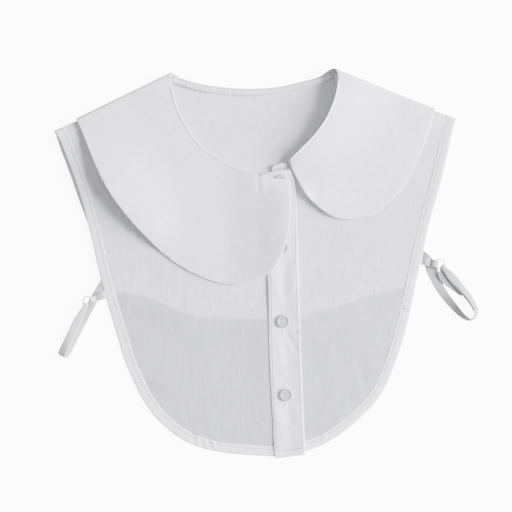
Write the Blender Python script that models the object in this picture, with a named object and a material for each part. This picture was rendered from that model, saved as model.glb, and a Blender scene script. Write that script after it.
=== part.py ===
# A false collar: a sleeveless cotton half-shirt with a lopsided flat collar, lying on its back.
# Metres, +Z up, +Y towards the neck. Left and right are as seen from above.
# Each cloth piece is cut as a flat pattern, then folded over the shoulders and laid in layers.

import math

import bpy
from mathutils import Vector
from mathutils.geometry import delaunay_2d_cdt

# Driving dimensions
WALL = 0.0011  # thickness of every cloth wall
GAP = 0.0003  # clearance at seams and between layers
HOLLOW = 0.0006  # extra room between the back panel and the fronts
PITCH = WALL + GAP  # from the middle of one layer to the middle of the next
FLOOR = WALL / 2  # middle of a wall that lies on the floor
BAND_WIDTH = 0.0082  # bias band along the armholes and hems
FLAP = 0.006  # the back panel comes this far over the shoulder to its seam
NECK_TUCK = 0.0008  # the body's neck edge stays this far inside the collar's
GRID = 0.012  # spacing of the points inside a panel
EDGE_STEP = 0.009  # spacing of the points along an edge
BEND_STEPS = 6  # facets round a shoulder fold
BODY_FOLD_RADIUS = (PITCH + HOLLOW) / 2
COLLAR_FOLD_RADIUS = BODY_FOLD_RADIUS + PITCH
FOLD_SPREAD = 0.2  # how much wider a fold gets where it stands taller

STRAP_WIDTH = 0.0075
STRAP_NECKED = 0.0042  # width where the elastic bunches in a ring
STRAP_GATHERED = 0.006  # width where the right loop bunches at its seam
STRAP_SPREAD = 0.0086  # width where it is pulled flat beside the tab
STRAP_FOLD = 0.0011  # radius of the left loop's far fold
STRAP_STUB = 0.006  # sewn end behind the ring
BANK_SCALE = 1000  # degrees of bank that count as much as a metre when points are spaced
RING_RADIUS = 0.0043  # to the middle of the wire
RING_WIRE = 0.00065  # radius of the wire
WRAP_RADIUS = RING_WIRE + GAP + WALL / 2
WRAP_INSET = 0.0036  # from a ring's centre to the middle of a wrap
RING_HEIGHT = WALL + GAP + WALL / 2 + WRAP_RADIUS  # its wraps clear the strand on the floor

SLIVER_AREA = 5e-8  # smaller triangles on a border are left out
REACH = 0.21  # the grid of inner points runs this far each way
NEAREST = EDGE_STEP / 6  # outline points nearer than this are joined
SHARP = math.radians(40)  # edges with a sharper turn stay crisp

TAB_BACK = 0.4  # where a tab narrows, as a share of the way back to its seam
TAB_SPREAD = 1.4  # how much wider it is there than in the ring
TAB_SAG = 0.0004

BUTTON_RADIUS = 0.00575
BUTTON_THICKNESS = 0.0018
BUTTON_LIP = 0.0006  # width of the slope at the outer edge
BUTTON_LIP_DROP = 0.0005
BUTTON_DISH_RADIUS = 0.0036
BUTTON_DISH_SLOPE = 0.0008
BUTTON_DISH_DEPTH = 0.0006
BUTTON_HOLE_RADIUS = 0.0006
BUTTON_HOLE_OFFSET = 0.00125
BUTTON_SIDES = 24

# Shoulder folds, as the outermost line of each: neck end, then armhole end
BODY_FOLD_LEFT = ((-0.0859, 0.1680), (-0.1908, 0.1194))
BODY_FOLD_RIGHT = ((0.0616, 0.1707), (0.1701, 0.1307))
COLLAR_FOLD_LEFT = ((-0.0859, 0.1721), (-0.1683, 0.1320))
COLLAR_FOLD_RIGHT = ((0.0607, 0.1752), (0.1480, 0.1410))

# Left front's outer edge, x and y, from the shoulder down the armhole and round to the placket
FRONT_LEFT_EDGE = (
    (-0.1890, 0.1190),
    (-0.1822, 0.1023),
    (-0.1750, 0.0843),
    (-0.1661, 0.0573),
    (-0.1570, 0.0213),
    (-0.1489, -0.0138),
    (-0.1386, -0.0507),
    (-0.1278, -0.0867),
    (-0.1201, -0.1047),
    (-0.1111, -0.1227),
    (-0.0977, -0.1407),
    (-0.0779, -0.1569),
    (-0.0599, -0.1654),
    (-0.0418, -0.1695),
    (-0.0238, -0.1717),
    (0.0049, -0.1735),
    (0.0105, -0.1736),
)

# Right front's outer edge, x and y, from the shoulder down the armhole to the button stand
FRONT_RIGHT_EDGE = (
    (0.1690, 0.1290),
    (0.1651, 0.1104),
    (0.1570, 0.0753),
    (0.1472, 0.0398),
    (0.1399, 0.0069),
    (0.1346, -0.0165),
    (0.1291, -0.0435),
    (0.1229, -0.0687),
    (0.1111, -0.1020),
    (0.1021, -0.1191),
    (0.0931, -0.1303),
    (0.0751, -0.1470),
    (0.0571, -0.1596),
    (0.0347, -0.1690),
    (0.0120, -0.1717),
)

# Back panel's hem, x and y, from the left side corner to the right one
BACK_HEM = (
    (-0.1440, -0.0255),
    (-0.1336, -0.0246),
    (-0.1138, -0.0273),
    (-0.0958, -0.0340),
    (-0.0779, -0.0426),
    (-0.0599, -0.0475),
    (-0.0238, -0.0493),
    (0.0014, -0.0489),
    (0.0301, -0.0471),
    (0.0481, -0.0412),
    (0.0662, -0.0376),
    (0.0859, -0.0309),
    (0.1021, -0.0259),
    (0.1201, -0.0219),
    (0.1323, -0.0210),
)

# Back panel's armhole edges, x and y, from the shoulder to the side corner
BACK_LEFT_EDGE = (
    (-0.1900, 0.1180),
    (-0.1850, 0.1023),
    (-0.1782, 0.0843),
    (-0.1687, 0.0573),
    (-0.1557, 0.0213),
    (-0.1503, 0.0015),
    (-0.1462, -0.0165),
    BACK_HEM[0],
)
BACK_RIGHT_EDGE = (
    (0.1685, 0.1280),
    (0.1638, 0.1104),
    (0.1557, 0.0753),
    (0.1458, 0.0398),
    (0.1386, 0.0069),
    (0.1333, -0.0165),
    BACK_HEM[-1],
)

# Back neckline between the shoulder folds, x and y, left to right
BACK_NECK = (
    (-0.0779, 0.1672),
    (-0.0599, 0.1617),
    (-0.0418, 0.1590),
    (-0.0238, 0.1574),
    (-0.0059, 0.1574),
    (0.0121, 0.1590),
    (0.0301, 0.1632),
    (0.0481, 0.1680),
)

# Front necklines, x and y, from the shoulder to the centre front
NECK_LEFT = (
    (-0.0851, 0.1617),
    (-0.0814, 0.1437),
    (-0.0751, 0.1293),
    (-0.0688, 0.1185),
    (-0.0599, 0.1068),
    (-0.0508, 0.0996),
    (-0.0328, 0.0884),
    (-0.0076, 0.0798),
)
NECK_RIGHT = (
    (0.0634, 0.1653),
    (0.0625, 0.1560),
    (0.0603, 0.1473),
    (0.0526, 0.1293),
    (0.0401, 0.1122),
    (0.0301, 0.1023),
    (0.0198, 0.0924),
)

# Free edge of each leaf of the collar, x and y, from the shoulder to the centre front
LEAF_LEFT_EDGE = (
    (-0.1661, 0.1203),
    (-0.1624, 0.1113),
    (-0.1552, 0.0933),
    (-0.1417, 0.0663),
    (-0.1220, 0.0393),
    (-0.0958, 0.0119),
    (-0.0779, -0.0021),
    (-0.0599, -0.0115),
    (-0.0418, -0.0178),
    (-0.0310, -0.0192),
    (-0.0193, -0.0174),
    (0.0004, -0.0097),
    (0.0112, 0.0033),
    (0.0175, 0.0195),
    (0.0211, 0.0393),
    (0.0216, 0.0573),
    (0.0211, 0.0757),
)
LEAF_RIGHT_EDGE = (
    (0.1472, 0.1248),
    (0.1444, 0.1167),
    (0.1381, 0.0996),
    (0.1265, 0.0753),
    (0.1111, 0.0560),
    (0.0931, 0.0434),
    (0.0751, 0.0393),
    (0.0589, 0.0420),
    (0.0481, 0.0492),
    (0.0364, 0.0600),
    (0.0310, 0.0681),
    (0.0238, 0.0825),
    (0.0198, 0.0924),
)
LEAF_LEFT_TOP = ((0.0077, 0.0762), (-0.0058, 0.0767), (-0.0076, 0.0798))

# Back of the collar, under the back panel: its outer edge, x and y, left to right
BACK_COLLAR_EDGE = (
    (-0.1672, 0.1230),
    (-0.1680, 0.0985),
    (-0.1655, 0.0925),
    (-0.1570, 0.0905),
    (-0.0779, 0.0906),
    (-0.0004, 0.0880),
    (0.0751, 0.0879),
    (0.1318, 0.0861),
    (0.1410, 0.0830),
    (0.1440, 0.0890),
    (0.1466, 0.1300),
)

# Placket: its two long edges, x and y, top to bottom
PLACKET_LEFT = (
    (-0.0060, 0.0798),
    (0.0009, -0.0102),
    (0.0027, -0.0867),
    (0.0072, -0.1677),
    (0.0081, -0.1750),
)
PLACKET_RIGHT = (
    (0.0203, 0.0846),
    (0.0229, 0.0798),
    (0.0261, 0.0663),
    (0.0284, 0.0033),
    (0.0310, -0.0777),
    (0.0347, -0.1717),
)
PLACKET_OVER_FRONT = 0.0035  # how far the placket covers the left front
STAND_INSET = 0.0047  # from the placket's left edge to the button stand's

# Neck binding ends at the centre front, x and y, as outlines
PLACKET_BINDING = (
    (-0.0050, 0.0791),
    (0.0060, 0.0799),
    (0.0227, 0.0800),
    (0.0203, 0.0845),
    (0.0060, 0.0826),
    (-0.0048, 0.0803),
)
STAND_BINDING = (
    (0.0045, 0.0848),
    (0.0110, 0.0857),
    (0.0178, 0.0865),
    (0.0183, 0.0915),
    (0.0110, 0.0897),
    (0.0055, 0.0878),
)
# Top edge of the button stand under its binding, x and y, left to right
STAND_TOP = ((0.0045, 0.0848), (0.0052, 0.0876), (0.0110, 0.0897), (0.0175, 0.0920))
NECK_BINDING_WIDTH = 0.0066
NECK_BINDING_ENDS = (-0.0780, 0.0520)  # x of its two ends

# Button centres, x and y, top to bottom
BUTTONS = ((0.0126, 0.0735), (0.0139, 0.0146), (0.0149, -0.0516), (0.0175, -0.1177))

# Where the back panel comes down from the collar's back to the floor, by y
BACK_SETTLES_FROM = 0.062
BACK_SETTLES_TO = 0.036
# Where the fronts come down past the back panel's edge, by distance outside it
FRONT_SETTLES_FROM = 0.003
FRONT_SETTLES_TO = 0.028
# Where the left leaf climbs over the placket and its buttons, by x
LEAF_CLIMBS_FROM = -0.037
LEAF_CLIMBS_TO = -0.004
LEAF_CLIMB = 0.0036

# Places where the cloth stands up: x, y, height, direction in degrees, reach along it and across it
NECK_LIFT = (0.0640, 0.1640, 0.0085, -115.0, 0.088, 0.062)
LEAF_LEFT_LIFT = (-0.1560, 0.0800, 0.0080, -62.0, 0.110, 0.075)
LEAF_RIGHT_LIFT = (0.0360, 0.0560, 0.0045, -50.0, 0.062, 0.050)

# Rings, and the seams of the tabs and loops: middle points, and half of the ribbon's width there
RING_LEFT = (-0.1606, -0.0336, RING_HEIGHT)
RING_RIGHT = (0.1557, -0.0003, RING_HEIGHT)
TAB_LEFT_SEAM = (-0.1454, -0.0282, RING_HEIGHT)
TAB_LEFT_HALF = (0.0009, -0.0032, 0)
TAB_RIGHT_SEAM = (0.1396, 0.0024, RING_HEIGHT)
TAB_RIGHT_HALF = (0.0008, 0.0034, 0)
STRAP_LEFT_SEAM = (-0.1466, -0.0183, FLOOR)
STRAP_LEFT_HALF = (0.0014, -0.0056, 0)
STRAP_RIGHT_SEAM = (0.1395, 0.0085, 0.0007)
STRAP_RIGHT_HALF = (0.0009, 0.0036, 0)

# Free stretches of the loops: x, y, z, bank in degrees and width
STRAP_LEFT_HEADING = (-0.443, -0.896, 0)
STRAP_LEFT_LOWER = (
    (-0.1500, -0.0235, FLOOR, 0, STRAP_WIDTH),
    (-0.1560, -0.0338, FLOOR, 0, STRAP_WIDTH),
    (-0.1690, -0.0588, FLOOR, 0, STRAP_WIDTH),
    (-0.1806, -0.0815, FLOOR, 0, STRAP_WIDTH),
)
STRAP_LEFT_FOLD = (-0.1812, -0.0826, FLOOR + STRAP_FOLD)
STRAP_LEFT_SLIDE = (-0.0030, 0.0012, 0)  # the upper strand lies beside the lower one's middle
STRAP_LEFT_UPPER = (
    (-0.1835, -0.0800, FLOOR + 2 * STRAP_FOLD + 0.0002, 0, STRAP_WIDTH),
    (-0.1770, -0.0668, 0.0034, 0, STRAP_WIDTH),
    (-0.1690, -0.0506, 0.0043, 0, STRAP_WIDTH),
    (-0.1635, -0.0395, RING_HEIGHT + WRAP_RADIUS, 0, STRAP_NECKED),
)
STRAP_RIGHT_HEADING = (-0.687, 0.726, 0)
STRAP_RIGHT_LOOP = (
    (0.1426, 0.0072, 0.0007, 0, STRAP_GATHERED),
    (0.1455, 0.0028, 0.0007, 0, STRAP_WIDTH),
    (0.1478, -0.0055, 0.0007, 0, STRAP_SPREAD),
    (0.1549, -0.0205, 0.0011, 5, STRAP_WIDTH),
    (0.1615, -0.0300, 0.0017, 14, STRAP_WIDTH),
    (0.1690, -0.0392, 0.0028, 32, STRAP_WIDTH),
    (0.1762, -0.0468, 0.0039, 56, STRAP_WIDTH),
    (0.1826, -0.0502, 0.0043, 72, STRAP_WIDTH),
    (0.1874, -0.0470, 0.0042, 66, STRAP_WIDTH),
    (0.1876, -0.0413, 0.0038, 48, STRAP_WIDTH),
    (0.1828, -0.0320, 0.0034, 32, STRAP_WIDTH),
    (0.1741, -0.0212, 0.0036, 20, STRAP_WIDTH),
    (0.1661, -0.0118, 0.0043, 8, STRAP_WIDTH),
    (0.1603, -0.0052, RING_HEIGHT + WRAP_RADIUS, 0, STRAP_NECKED),
)

# The right loop's end, folded back through the ring and lying under the loop
STRAP_RIGHT_TAIL = (
    (0.1588, -0.0075, 0.0013, 0, STRAP_GATHERED),
    (0.1610, -0.0130, FLOOR, 0, STRAP_WIDTH),
    (0.1675, -0.0194, FLOOR, 0, STRAP_WIDTH),
    (0.1747, -0.0248, FLOOR, 0, STRAP_WIDTH),
    (0.1775, -0.0270, FLOOR, 0, STRAP_GATHERED),
)

COTTON = (0.84, 0.85, 0.87)
TRIM_COTTON = (0.88, 0.89, 0.90)
ELASTIC = (0.82, 0.83, 0.85)
RESIN = (0.86, 0.86, 0.86)


# Curves

def smooth(rows, parts=10):
    """Points on a curve that passes through every row."""
    points = [Vector(row) for row in rows]
    points = [2 * points[0] - points[1]] + points + [2 * points[-1] - points[-2]]
    curve = []
    for a, b, c, d in zip(points, points[1:], points[2:], points[3:]):
        for i in range(parts):
            t = i / parts
            bend = 2 * b + (c - a) * t + (2 * a - 5 * b + 4 * c - d) * t * t
            curve.append((bend + (3 * b - a - 3 * c + d) * t ** 3) / 2)
    curve.append(points[-2])
    return curve


def even(points, step=EDGE_STEP):
    """The same line with its points spaced evenly."""
    lengths = [(b - a).length for a, b in zip(points, points[1:])]
    total = sum(lengths)
    count = max(1, round(total / step))
    spaced = [points[0]]
    passed = 0.0
    index = 0
    for i in range(1, count):
        target = total * i / count
        while passed + lengths[index] < target:
            passed += lengths[index]
            index += 1
        spaced.append(points[index].lerp(points[index + 1], (target - passed) / lengths[index]))
    spaced.append(points[-1])
    return spaced


def shifted(points, distance):
    """The line moved sideways, to the left of its direction."""
    moved = []
    for i, point in enumerate(points):
        heading = (points[min(i + 1, len(points) - 1)] - points[max(i - 1, 0)]).normalized()
        moved.append(point + Vector((-heading.y, heading.x)) * distance)
    return moved


def split(points, measure, value):
    """The two parts of a line, up to and after the place where a growing measure has this value."""
    for i, (a, b) in enumerate(zip(points, points[1:])):
        low, high = measure(a), measure(b)
        if low <= value < high:
            cut = a.lerp(b, (value - low) / (high - low))
            return points[:i + 1] + [cut], [cut] + points[i + 1:]
    return points, []


def joined(*lines):
    """One closed outline from several lines, with no points too near each other or too far apart."""
    corners = []
    for point in (Vector(p) for line in lines for p in line):
        if not corners or (point - corners[-1]).length > NEAREST:
            corners.append(point)
    while (corners[0] - corners[-1]).length < NEAREST:
        corners.pop()
    outline = []
    for a, b in zip(corners, corners[1:] + corners[:1]):
        outline += even([a, b])[:-1]
    return outline


def contains(outline, point):
    """Whether a point lies inside a closed outline."""
    inside = False
    for a, b in zip(outline, outline[1:] + outline[:1]):
        if (a.y > point.y) != (b.y > point.y):
            if point.x < a.x + (point.y - a.y) / (b.y - a.y) * (b.x - a.x):
                inside = not inside
    return inside


def edge_distance(outline, point):
    """Distance from a point to the nearest place on a closed outline."""
    nearest = math.inf
    for a, b in zip(outline, outline[1:] + outline[:1]):
        along = b - a
        t = max(0.0, min(1.0, (point - a).dot(along) / along.length_squared))
        nearest = min(nearest, (point - a - along * t).length)
    return nearest


# Heights of the middle of each layer

def ease(value):
    """0 to 1 with a soft start and end."""
    value = max(0.0, min(1.0, value))
    return value * value * (3 - 2 * value)


def swell(point, place):
    """Height of a soft hump at a point."""
    x, y, height, direction, along, across = place
    offset = point - Vector((x, y))
    heading = Vector((math.cos(math.radians(direction)), math.sin(math.radians(direction))))
    reach = Vector((offset.dot(heading) / along, offset.cross(heading) / across)).length
    return height * (1 + math.cos(math.pi * min(1.0, reach))) / 2


BACK_OUTLINE = joined(
    smooth(BACK_LEFT_EDGE, 3),
    smooth(BACK_HEM, 2),
    smooth(BACK_RIGHT_EDGE, 3)[::-1],
    [BODY_FOLD_RIGHT[0], BODY_FOLD_LEFT[0]],
)


def collar_back_height(point):
    return FLOOR


def back_height(point):
    return FLOOR + PITCH * ease((point.y - BACK_SETTLES_TO) / (BACK_SETTLES_FROM - BACK_SETTLES_TO))


def over_back_height(point):
    return back_height(point) + PITCH


def front_height(point):
    outside = 0.0 if contains(BACK_OUTLINE, point) else edge_distance(BACK_OUTLINE, point)
    held = 1 - ease((outside - FRONT_SETTLES_FROM) / (FRONT_SETTLES_TO - FRONT_SETTLES_FROM))
    return FLOOR + held * (back_height(point) + PITCH + HOLLOW - FLOOR)


def front_right_height(point):
    return front_height(point) + swell(point, NECK_LIFT)


def placket_height(point):
    return front_height(point) + PITCH


def over_placket_height(point):
    return placket_height(point) + PITCH


def leaf_left_height(point):
    climb = LEAF_CLIMB * ease((point.x - LEAF_CLIMBS_FROM) / (LEAF_CLIMBS_TO - LEAF_CLIMBS_FROM))
    return front_height(point) + PITCH + climb + swell(point, LEAF_LEFT_LIFT)


def leaf_right_height(point):
    return front_right_height(point) + PITCH + swell(point, LEAF_RIGHT_LIFT)


class Fold:
    """A shoulder fold: it turns a flat pattern over from the back layer to the front one."""

    def __init__(self, line, under, over, tightness):
        self.neck = Vector(line[0])
        self.along = (Vector(line[1]) - self.neck).normalized()
        self.out = Vector((-self.along.y, self.along.x))
        if self.out.y < 0:
            self.out = -self.out
        self.length = (Vector(line[1]) - self.neck).length
        self.under = under
        self.over = over
        self.tightness = tightness
        self.known = {}

    def bend(self, s):
        """Middle of the bend at a distance along the fold, its height, and its two radii."""
        key = round(s, 7)
        if key not in self.known:
            within = max(0.0, min(self.length, s))
            wide = self.tightness
            for _ in range(3):
                centre = self.neck + self.along * within - self.out * (wide + WALL / 2)
                tall = (self.over(centre) - self.under(centre)) / 2
                wide = self.tightness + FOLD_SPREAD * (tall - self.tightness)
            height = self.under(centre) + tall
            self.known[key] = (centre + self.along * (s - within), height, wide, tall)
        return self.known[key]

    def at(self, point):
        """The bend beside a point."""
        return self.bend((point - self.neck).dot(self.along))

    def past(self, point):
        """How far a pattern point lies past the start of the bend."""
        return (point - self.at(point)[0]).dot(self.out)

    def depth(self, point):
        """How far a pattern point lies past the end of the bend, on the front."""
        _, _, wide, tall = self.at(point)
        return self.past(point) - math.pi * (wide + tall) / 2

    def unfold(self, point):
        """Pattern point of a place on the front layer."""
        centre, _, wide, tall = self.at(point)
        inward = (centre - point).dot(self.out)
        return point + self.out * (2 * inward + math.pi * (wide + tall) / 2)

    def lay(self, point):
        """Place of a pattern point that is past the start of the bend."""
        centre, height, wide, tall = self.at(point)
        angle = self.past(point) / ((wide + tall) / 2)
        foot = point - self.out * self.past(point)
        if angle < math.pi:
            place = foot + self.out * (wide * math.sin(angle))
            return Vector((place.x, place.y, height - tall * math.cos(angle)))
        place = foot - self.out * self.depth(point)
        return Vector((place.x, place.y, self.over(place)))

    def rows(self, margin=0.012):
        """Pattern lines along the bend, one for each of its facets."""
        count = round((self.length + 2 * margin) / EDGE_STEP)
        for k in range(BEND_STEPS + 1):
            line = []
            for i in range(count + 1):
                centre, _, wide, tall = self.bend(-margin + (self.length + 2 * margin) * i / count)
                line.append(centre + self.out * (math.pi * (wide + tall) / 2 * k / BEND_STEPS))
            yield line


# Solids

def material(name, colour, roughness):
    made = bpy.data.materials.new(name)
    made.use_nodes = True
    shader = made.node_tree.nodes["Principled BSDF"]
    shader.inputs["Base Color"].default_value = (*colour, 1.0)
    shader.inputs["Roughness"].default_value = roughness
    shader.inputs["Metallic"].default_value = 0.0
    return made


def solid(name, points, faces, colour, roughness=0.85):
    """A named object from its points and faces."""
    mesh = bpy.data.meshes.new(name)
    mesh.from_pydata([tuple(p) for p in points], [], faces)
    mesh.validate()
    mesh.materials.append(material(name, colour, roughness))
    mesh.shade_smooth()
    mesh.set_sharp_from_angle(angle=SHARP)
    made = bpy.data.objects.new(name, mesh)
    bpy.context.scene.collection.objects.link(made)
    return made


def rim(faces):
    """Directed edges that only one triangle has."""
    edges = {(face[i], face[(i + 1) % 3]) for face in faces for i in range(3)}
    return sorted(edge for edge in edges if (edge[1], edge[0]) not in edges)


def sliver(flat, face, border):
    """Whether a triangle on the border has next to no area."""
    a, b, c = face
    area = abs((flat[b] - flat[a]).cross(flat[c] - flat[a])) / 2
    sides = ((a, b), (b, c), (c, a))
    return area < SLIVER_AREA and any(tuple(sorted(side)) in border for side in sides)


def triangles(outline, holes=(), lines=(), points=()):
    """Flat points and triangles that fill an outline, less its holes."""
    flat = list(outline)
    edges = [(i, (i + 1) % len(outline)) for i in range(len(outline))]
    for hole in holes:
        first = len(flat)
        flat += hole
        edges += [(first + i, first + (i + 1) % len(hole)) for i in range(len(hole))]
    for line in lines:
        first = len(flat)
        flat += line
        edges += [(first + i, first + i + 1) for i in range(len(line) - 1)]
    flat += points
    flat, _, faces, _, _, _ = delaunay_2d_cdt(flat, edges, [], 0, 1e-6)
    kept = []
    for face in faces:
        middle = (flat[face[0]] + flat[face[1]] + flat[face[2]]) / 3
        if contains(outline, middle) and not any(contains(hole, middle) for hole in holes):
            kept.append(tuple(face))
    border = {tuple(sorted(edge)) for edge in rim(kept)}
    kept = [face for face in kept if not sliver(flat, face, border)]
    used = sorted({i for face in kept for i in face})
    order = {old: new for new, old in enumerate(used)}
    return [flat[i] for i in used], [tuple(order[i] for i in face) for face in kept]


def walled(name, places, faces, colour, thickness=WALL):
    """A closed wall of even thickness about a middle surface."""
    normals = [Vector((0, 0, 0)) for _ in places]
    for a, b, c in faces:
        normal = (places[b] - places[a]).cross(places[c] - places[a])
        for i in (a, b, c):
            normals[i] += normal
    normals = [n.normalized() * (thickness / 2) for n in normals]
    count = len(places)
    points = [p + n for p, n in zip(places, normals)] + [p - n for p, n in zip(places, normals)]
    closed = list(faces)
    closed += [(a + count, c + count, b + count) for a, b, c in faces]
    closed += [(a, a + count, b + count, b) for a, b in rim(faces)]
    return solid(name, points, closed, colour)


def grid(outline, to_pattern=None, margin=GRID * 0.45):
    """Points of one shared grid that lie well inside an outline."""
    count = round(REACH / GRID)
    found = []
    for i in range(-count, count + 1):
        for j in range(-count, count + 1):
            point = Vector((i * GRID, j * GRID))
            pattern = to_pattern(point) if to_pattern else point
            if pattern and contains(outline, pattern) and edge_distance(outline, pattern) > margin:
                found.append(pattern)
    return found


def laid_panel(name, outline, height, colour=COTTON, inner=True):
    """A panel that has no fold: an outline seen from above, and the height of its middle."""
    flat, faces = triangles(outline, points=grid(outline) if inner else ())
    return walled(name, [Vector((p.x, p.y, height(p))) for p in flat], faces, colour)


def folded_panel(name, outline, folds, under, colour=COTTON, inner=True):
    """A panel cut as a flat pattern that turns over one fold or both."""
    lines = [line for fold in folds for line in fold.rows()]

    def fold_of(point):
        if len(folds) == 1:
            return folds[0]
        return folds[0] if point.x < 0 else folds[1]

    def back_point(point):
        return point if all(fold.past(point) < -GRID / 3 for fold in folds) else None

    points = grid(outline, back_point) if inner else []
    for fold in folds if inner else ():
        def front_point(point, fold=fold):
            pattern = fold.unfold(point)
            deep = fold.depth(pattern) > GRID / 3
            return pattern if deep and fold_of(pattern) is fold else None
        points += grid(outline, front_point)
    flat, faces = triangles(outline, lines=lines, points=points)
    places = []
    for p in flat:
        fold = fold_of(p)
        places.append(fold.lay(p) if fold.past(p) > 0 else Vector((p.x, p.y, under(p))))
    return walled(name, places, faces, colour)


# Body: pattern lines that the panels and bands share

def armhole(fold, back_edge, front_edge):
    """Pattern line of one garment edge, from the back's side corner over the shoulder and round the hem."""
    back = [p for p in even(smooth(back_edge)) if fold.past(p) < -EDGE_STEP / 4][::-1]
    front = []
    for p in even(smooth(front_edge)):
        pattern = fold.unfold(p)
        if fold.depth(pattern) > EDGE_STEP / 4:
            front.append(pattern)
    return back + front


def neckline(fold, rows, tuck):
    """Pattern line of a front neck edge, from the shoulder to the centre front."""
    line = [fold.unfold(p) for p in shifted(even(smooth(rows)), tuck)]
    return [p for p in line if fold.depth(p) > EDGE_STEP / 4]


def front_part(fold, line, start):
    """The stretch of a pattern line past a depth on the front, as places seen from above."""
    _, after = split(line, fold.depth, start)
    return [fold.lay(p).to_2d() for p in after]


def build_body():
    left = Fold(BODY_FOLD_LEFT, back_height, front_height, BODY_FOLD_RADIUS)
    right = Fold(BODY_FOLD_RIGHT, back_height, front_right_height, BODY_FOLD_RADIUS)
    edge_left = armhole(left, BACK_LEFT_EDGE, FRONT_LEFT_EDGE)
    edge_right = armhole(right, BACK_RIGHT_EDGE, FRONT_RIGHT_EDGE)
    panel_left = shifted(edge_left, -(BAND_WIDTH + GAP))
    panel_right = shifted(edge_right, BAND_WIDTH + GAP)
    neck = even(smooth(BACK_NECK))
    neck_left = neckline(left, NECK_LEFT, -NECK_TUCK)
    neck_right = neckline(right, NECK_RIGHT, NECK_TUCK)

    # Back panel with its two shoulder flaps; its hem runs between the bands
    flap_left, _ = split(panel_left, left.depth, FLAP)
    flap_right, _ = split(panel_right, right.depth, FLAP)
    collar_left, _ = split(neck[:1] + neck_left, left.depth, FLAP)
    collar_right, _ = split(neck[-1:] + neck_right, right.depth, FLAP)
    hem = [p for p in even(smooth(BACK_HEM)) if flap_left[0].x < p.x < flap_right[0].x]
    outline = joined(
        flap_left,
        collar_left[:0:-1],
        neck,
        collar_right[1:],
        flap_right[::-1],
        hem[::-1],
    )
    folded_panel("back_panel", outline, (left, right), back_height)

    # Bands, folded over the shoulders with the panels that they bind
    for name, edge, inward, fold in (
        ("band_left", edge_left, -BAND_WIDTH, left),
        ("band_right", edge_right, BAND_WIDTH, right),
    ):
        strip = joined(edge, shifted(edge, inward)[::-1])
        folded_panel(name, strip, (fold,), back_height, TRIM_COTTON, inner=False)

    # Fronts, from the shoulder seams down
    placket_left = even(smooth(PLACKET_LEFT))
    seam = FLAP + GAP
    side = front_part(left, panel_left, seam)
    centre = [p for p in shifted(placket_left, PLACKET_OVER_FRONT) if p.y > side[-1].y]
    outline = joined(side, centre[::-1], front_part(left, neck_left, seam)[::-1])
    laid_panel("front_left", outline, front_height)

    side = front_part(right, panel_right, seam)
    stand = [p for p in shifted(placket_left, STAND_INSET) if side[-1].y < p.y < 0.0]
    outline = joined(side, stand[::-1], STAND_TOP, front_part(right, neck_right, seam)[::-1])
    laid_panel("front_right", outline, front_right_height)


def build_collar():
    left = Fold(COLLAR_FOLD_LEFT, collar_back_height, leaf_left_height, COLLAR_FOLD_RADIUS)
    right = Fold(COLLAR_FOLD_RIGHT, collar_back_height, leaf_right_height, COLLAR_FOLD_RADIUS)
    neck = neckline(left, NECK_LEFT, 0.0)[::-1]
    neck += even(smooth(BACK_NECK))
    neck += neckline(right, NECK_RIGHT, 0.0)
    leaf_right = [right.unfold(p) for p in even(smooth(LEAF_RIGHT_EDGE))]
    leaf_left = [left.unfold(p) for p in even(smooth(LEAF_LEFT_EDGE))]
    top_left = [left.unfold(Vector(p)) for p in LEAF_LEFT_TOP]
    back = even(smooth(BACK_COLLAR_EDGE))
    outline = joined(neck, leaf_right[::-1], back[::-1], leaf_left, top_left)
    folded_panel("collar", outline, (left, right), collar_back_height)


def build_trim():
    placket = joined(even(smooth(PLACKET_RIGHT)), even(smooth(PLACKET_LEFT))[::-1])
    laid_panel("placket", placket, placket_height, TRIM_COTTON)
    strip = [Vector(p) for p in PLACKET_BINDING]
    laid_panel("binding_placket", strip, over_placket_height, TRIM_COTTON, inner=False)
    strip = [Vector(p) for p in STAND_BINDING]
    laid_panel("binding_stand", strip, placket_height, TRIM_COTTON, inner=False)
    first, last = NECK_BINDING_ENDS
    edge = [p for p in even(smooth(BACK_NECK)) if first < p.x < last]
    strip = joined(shifted(edge, -GAP), shifted(edge, -NECK_BINDING_WIDTH)[::-1])
    laid_panel("binding_neck", strip, over_back_height, TRIM_COTTON, inner=False)


# Buttons

def circle(centre, radius, sides):
    turns = [2 * math.pi * i / sides for i in range(sides)]
    return [Vector((centre[0] + radius * math.cos(a), centre[1] + radius * math.sin(a))) for a in turns]


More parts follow.
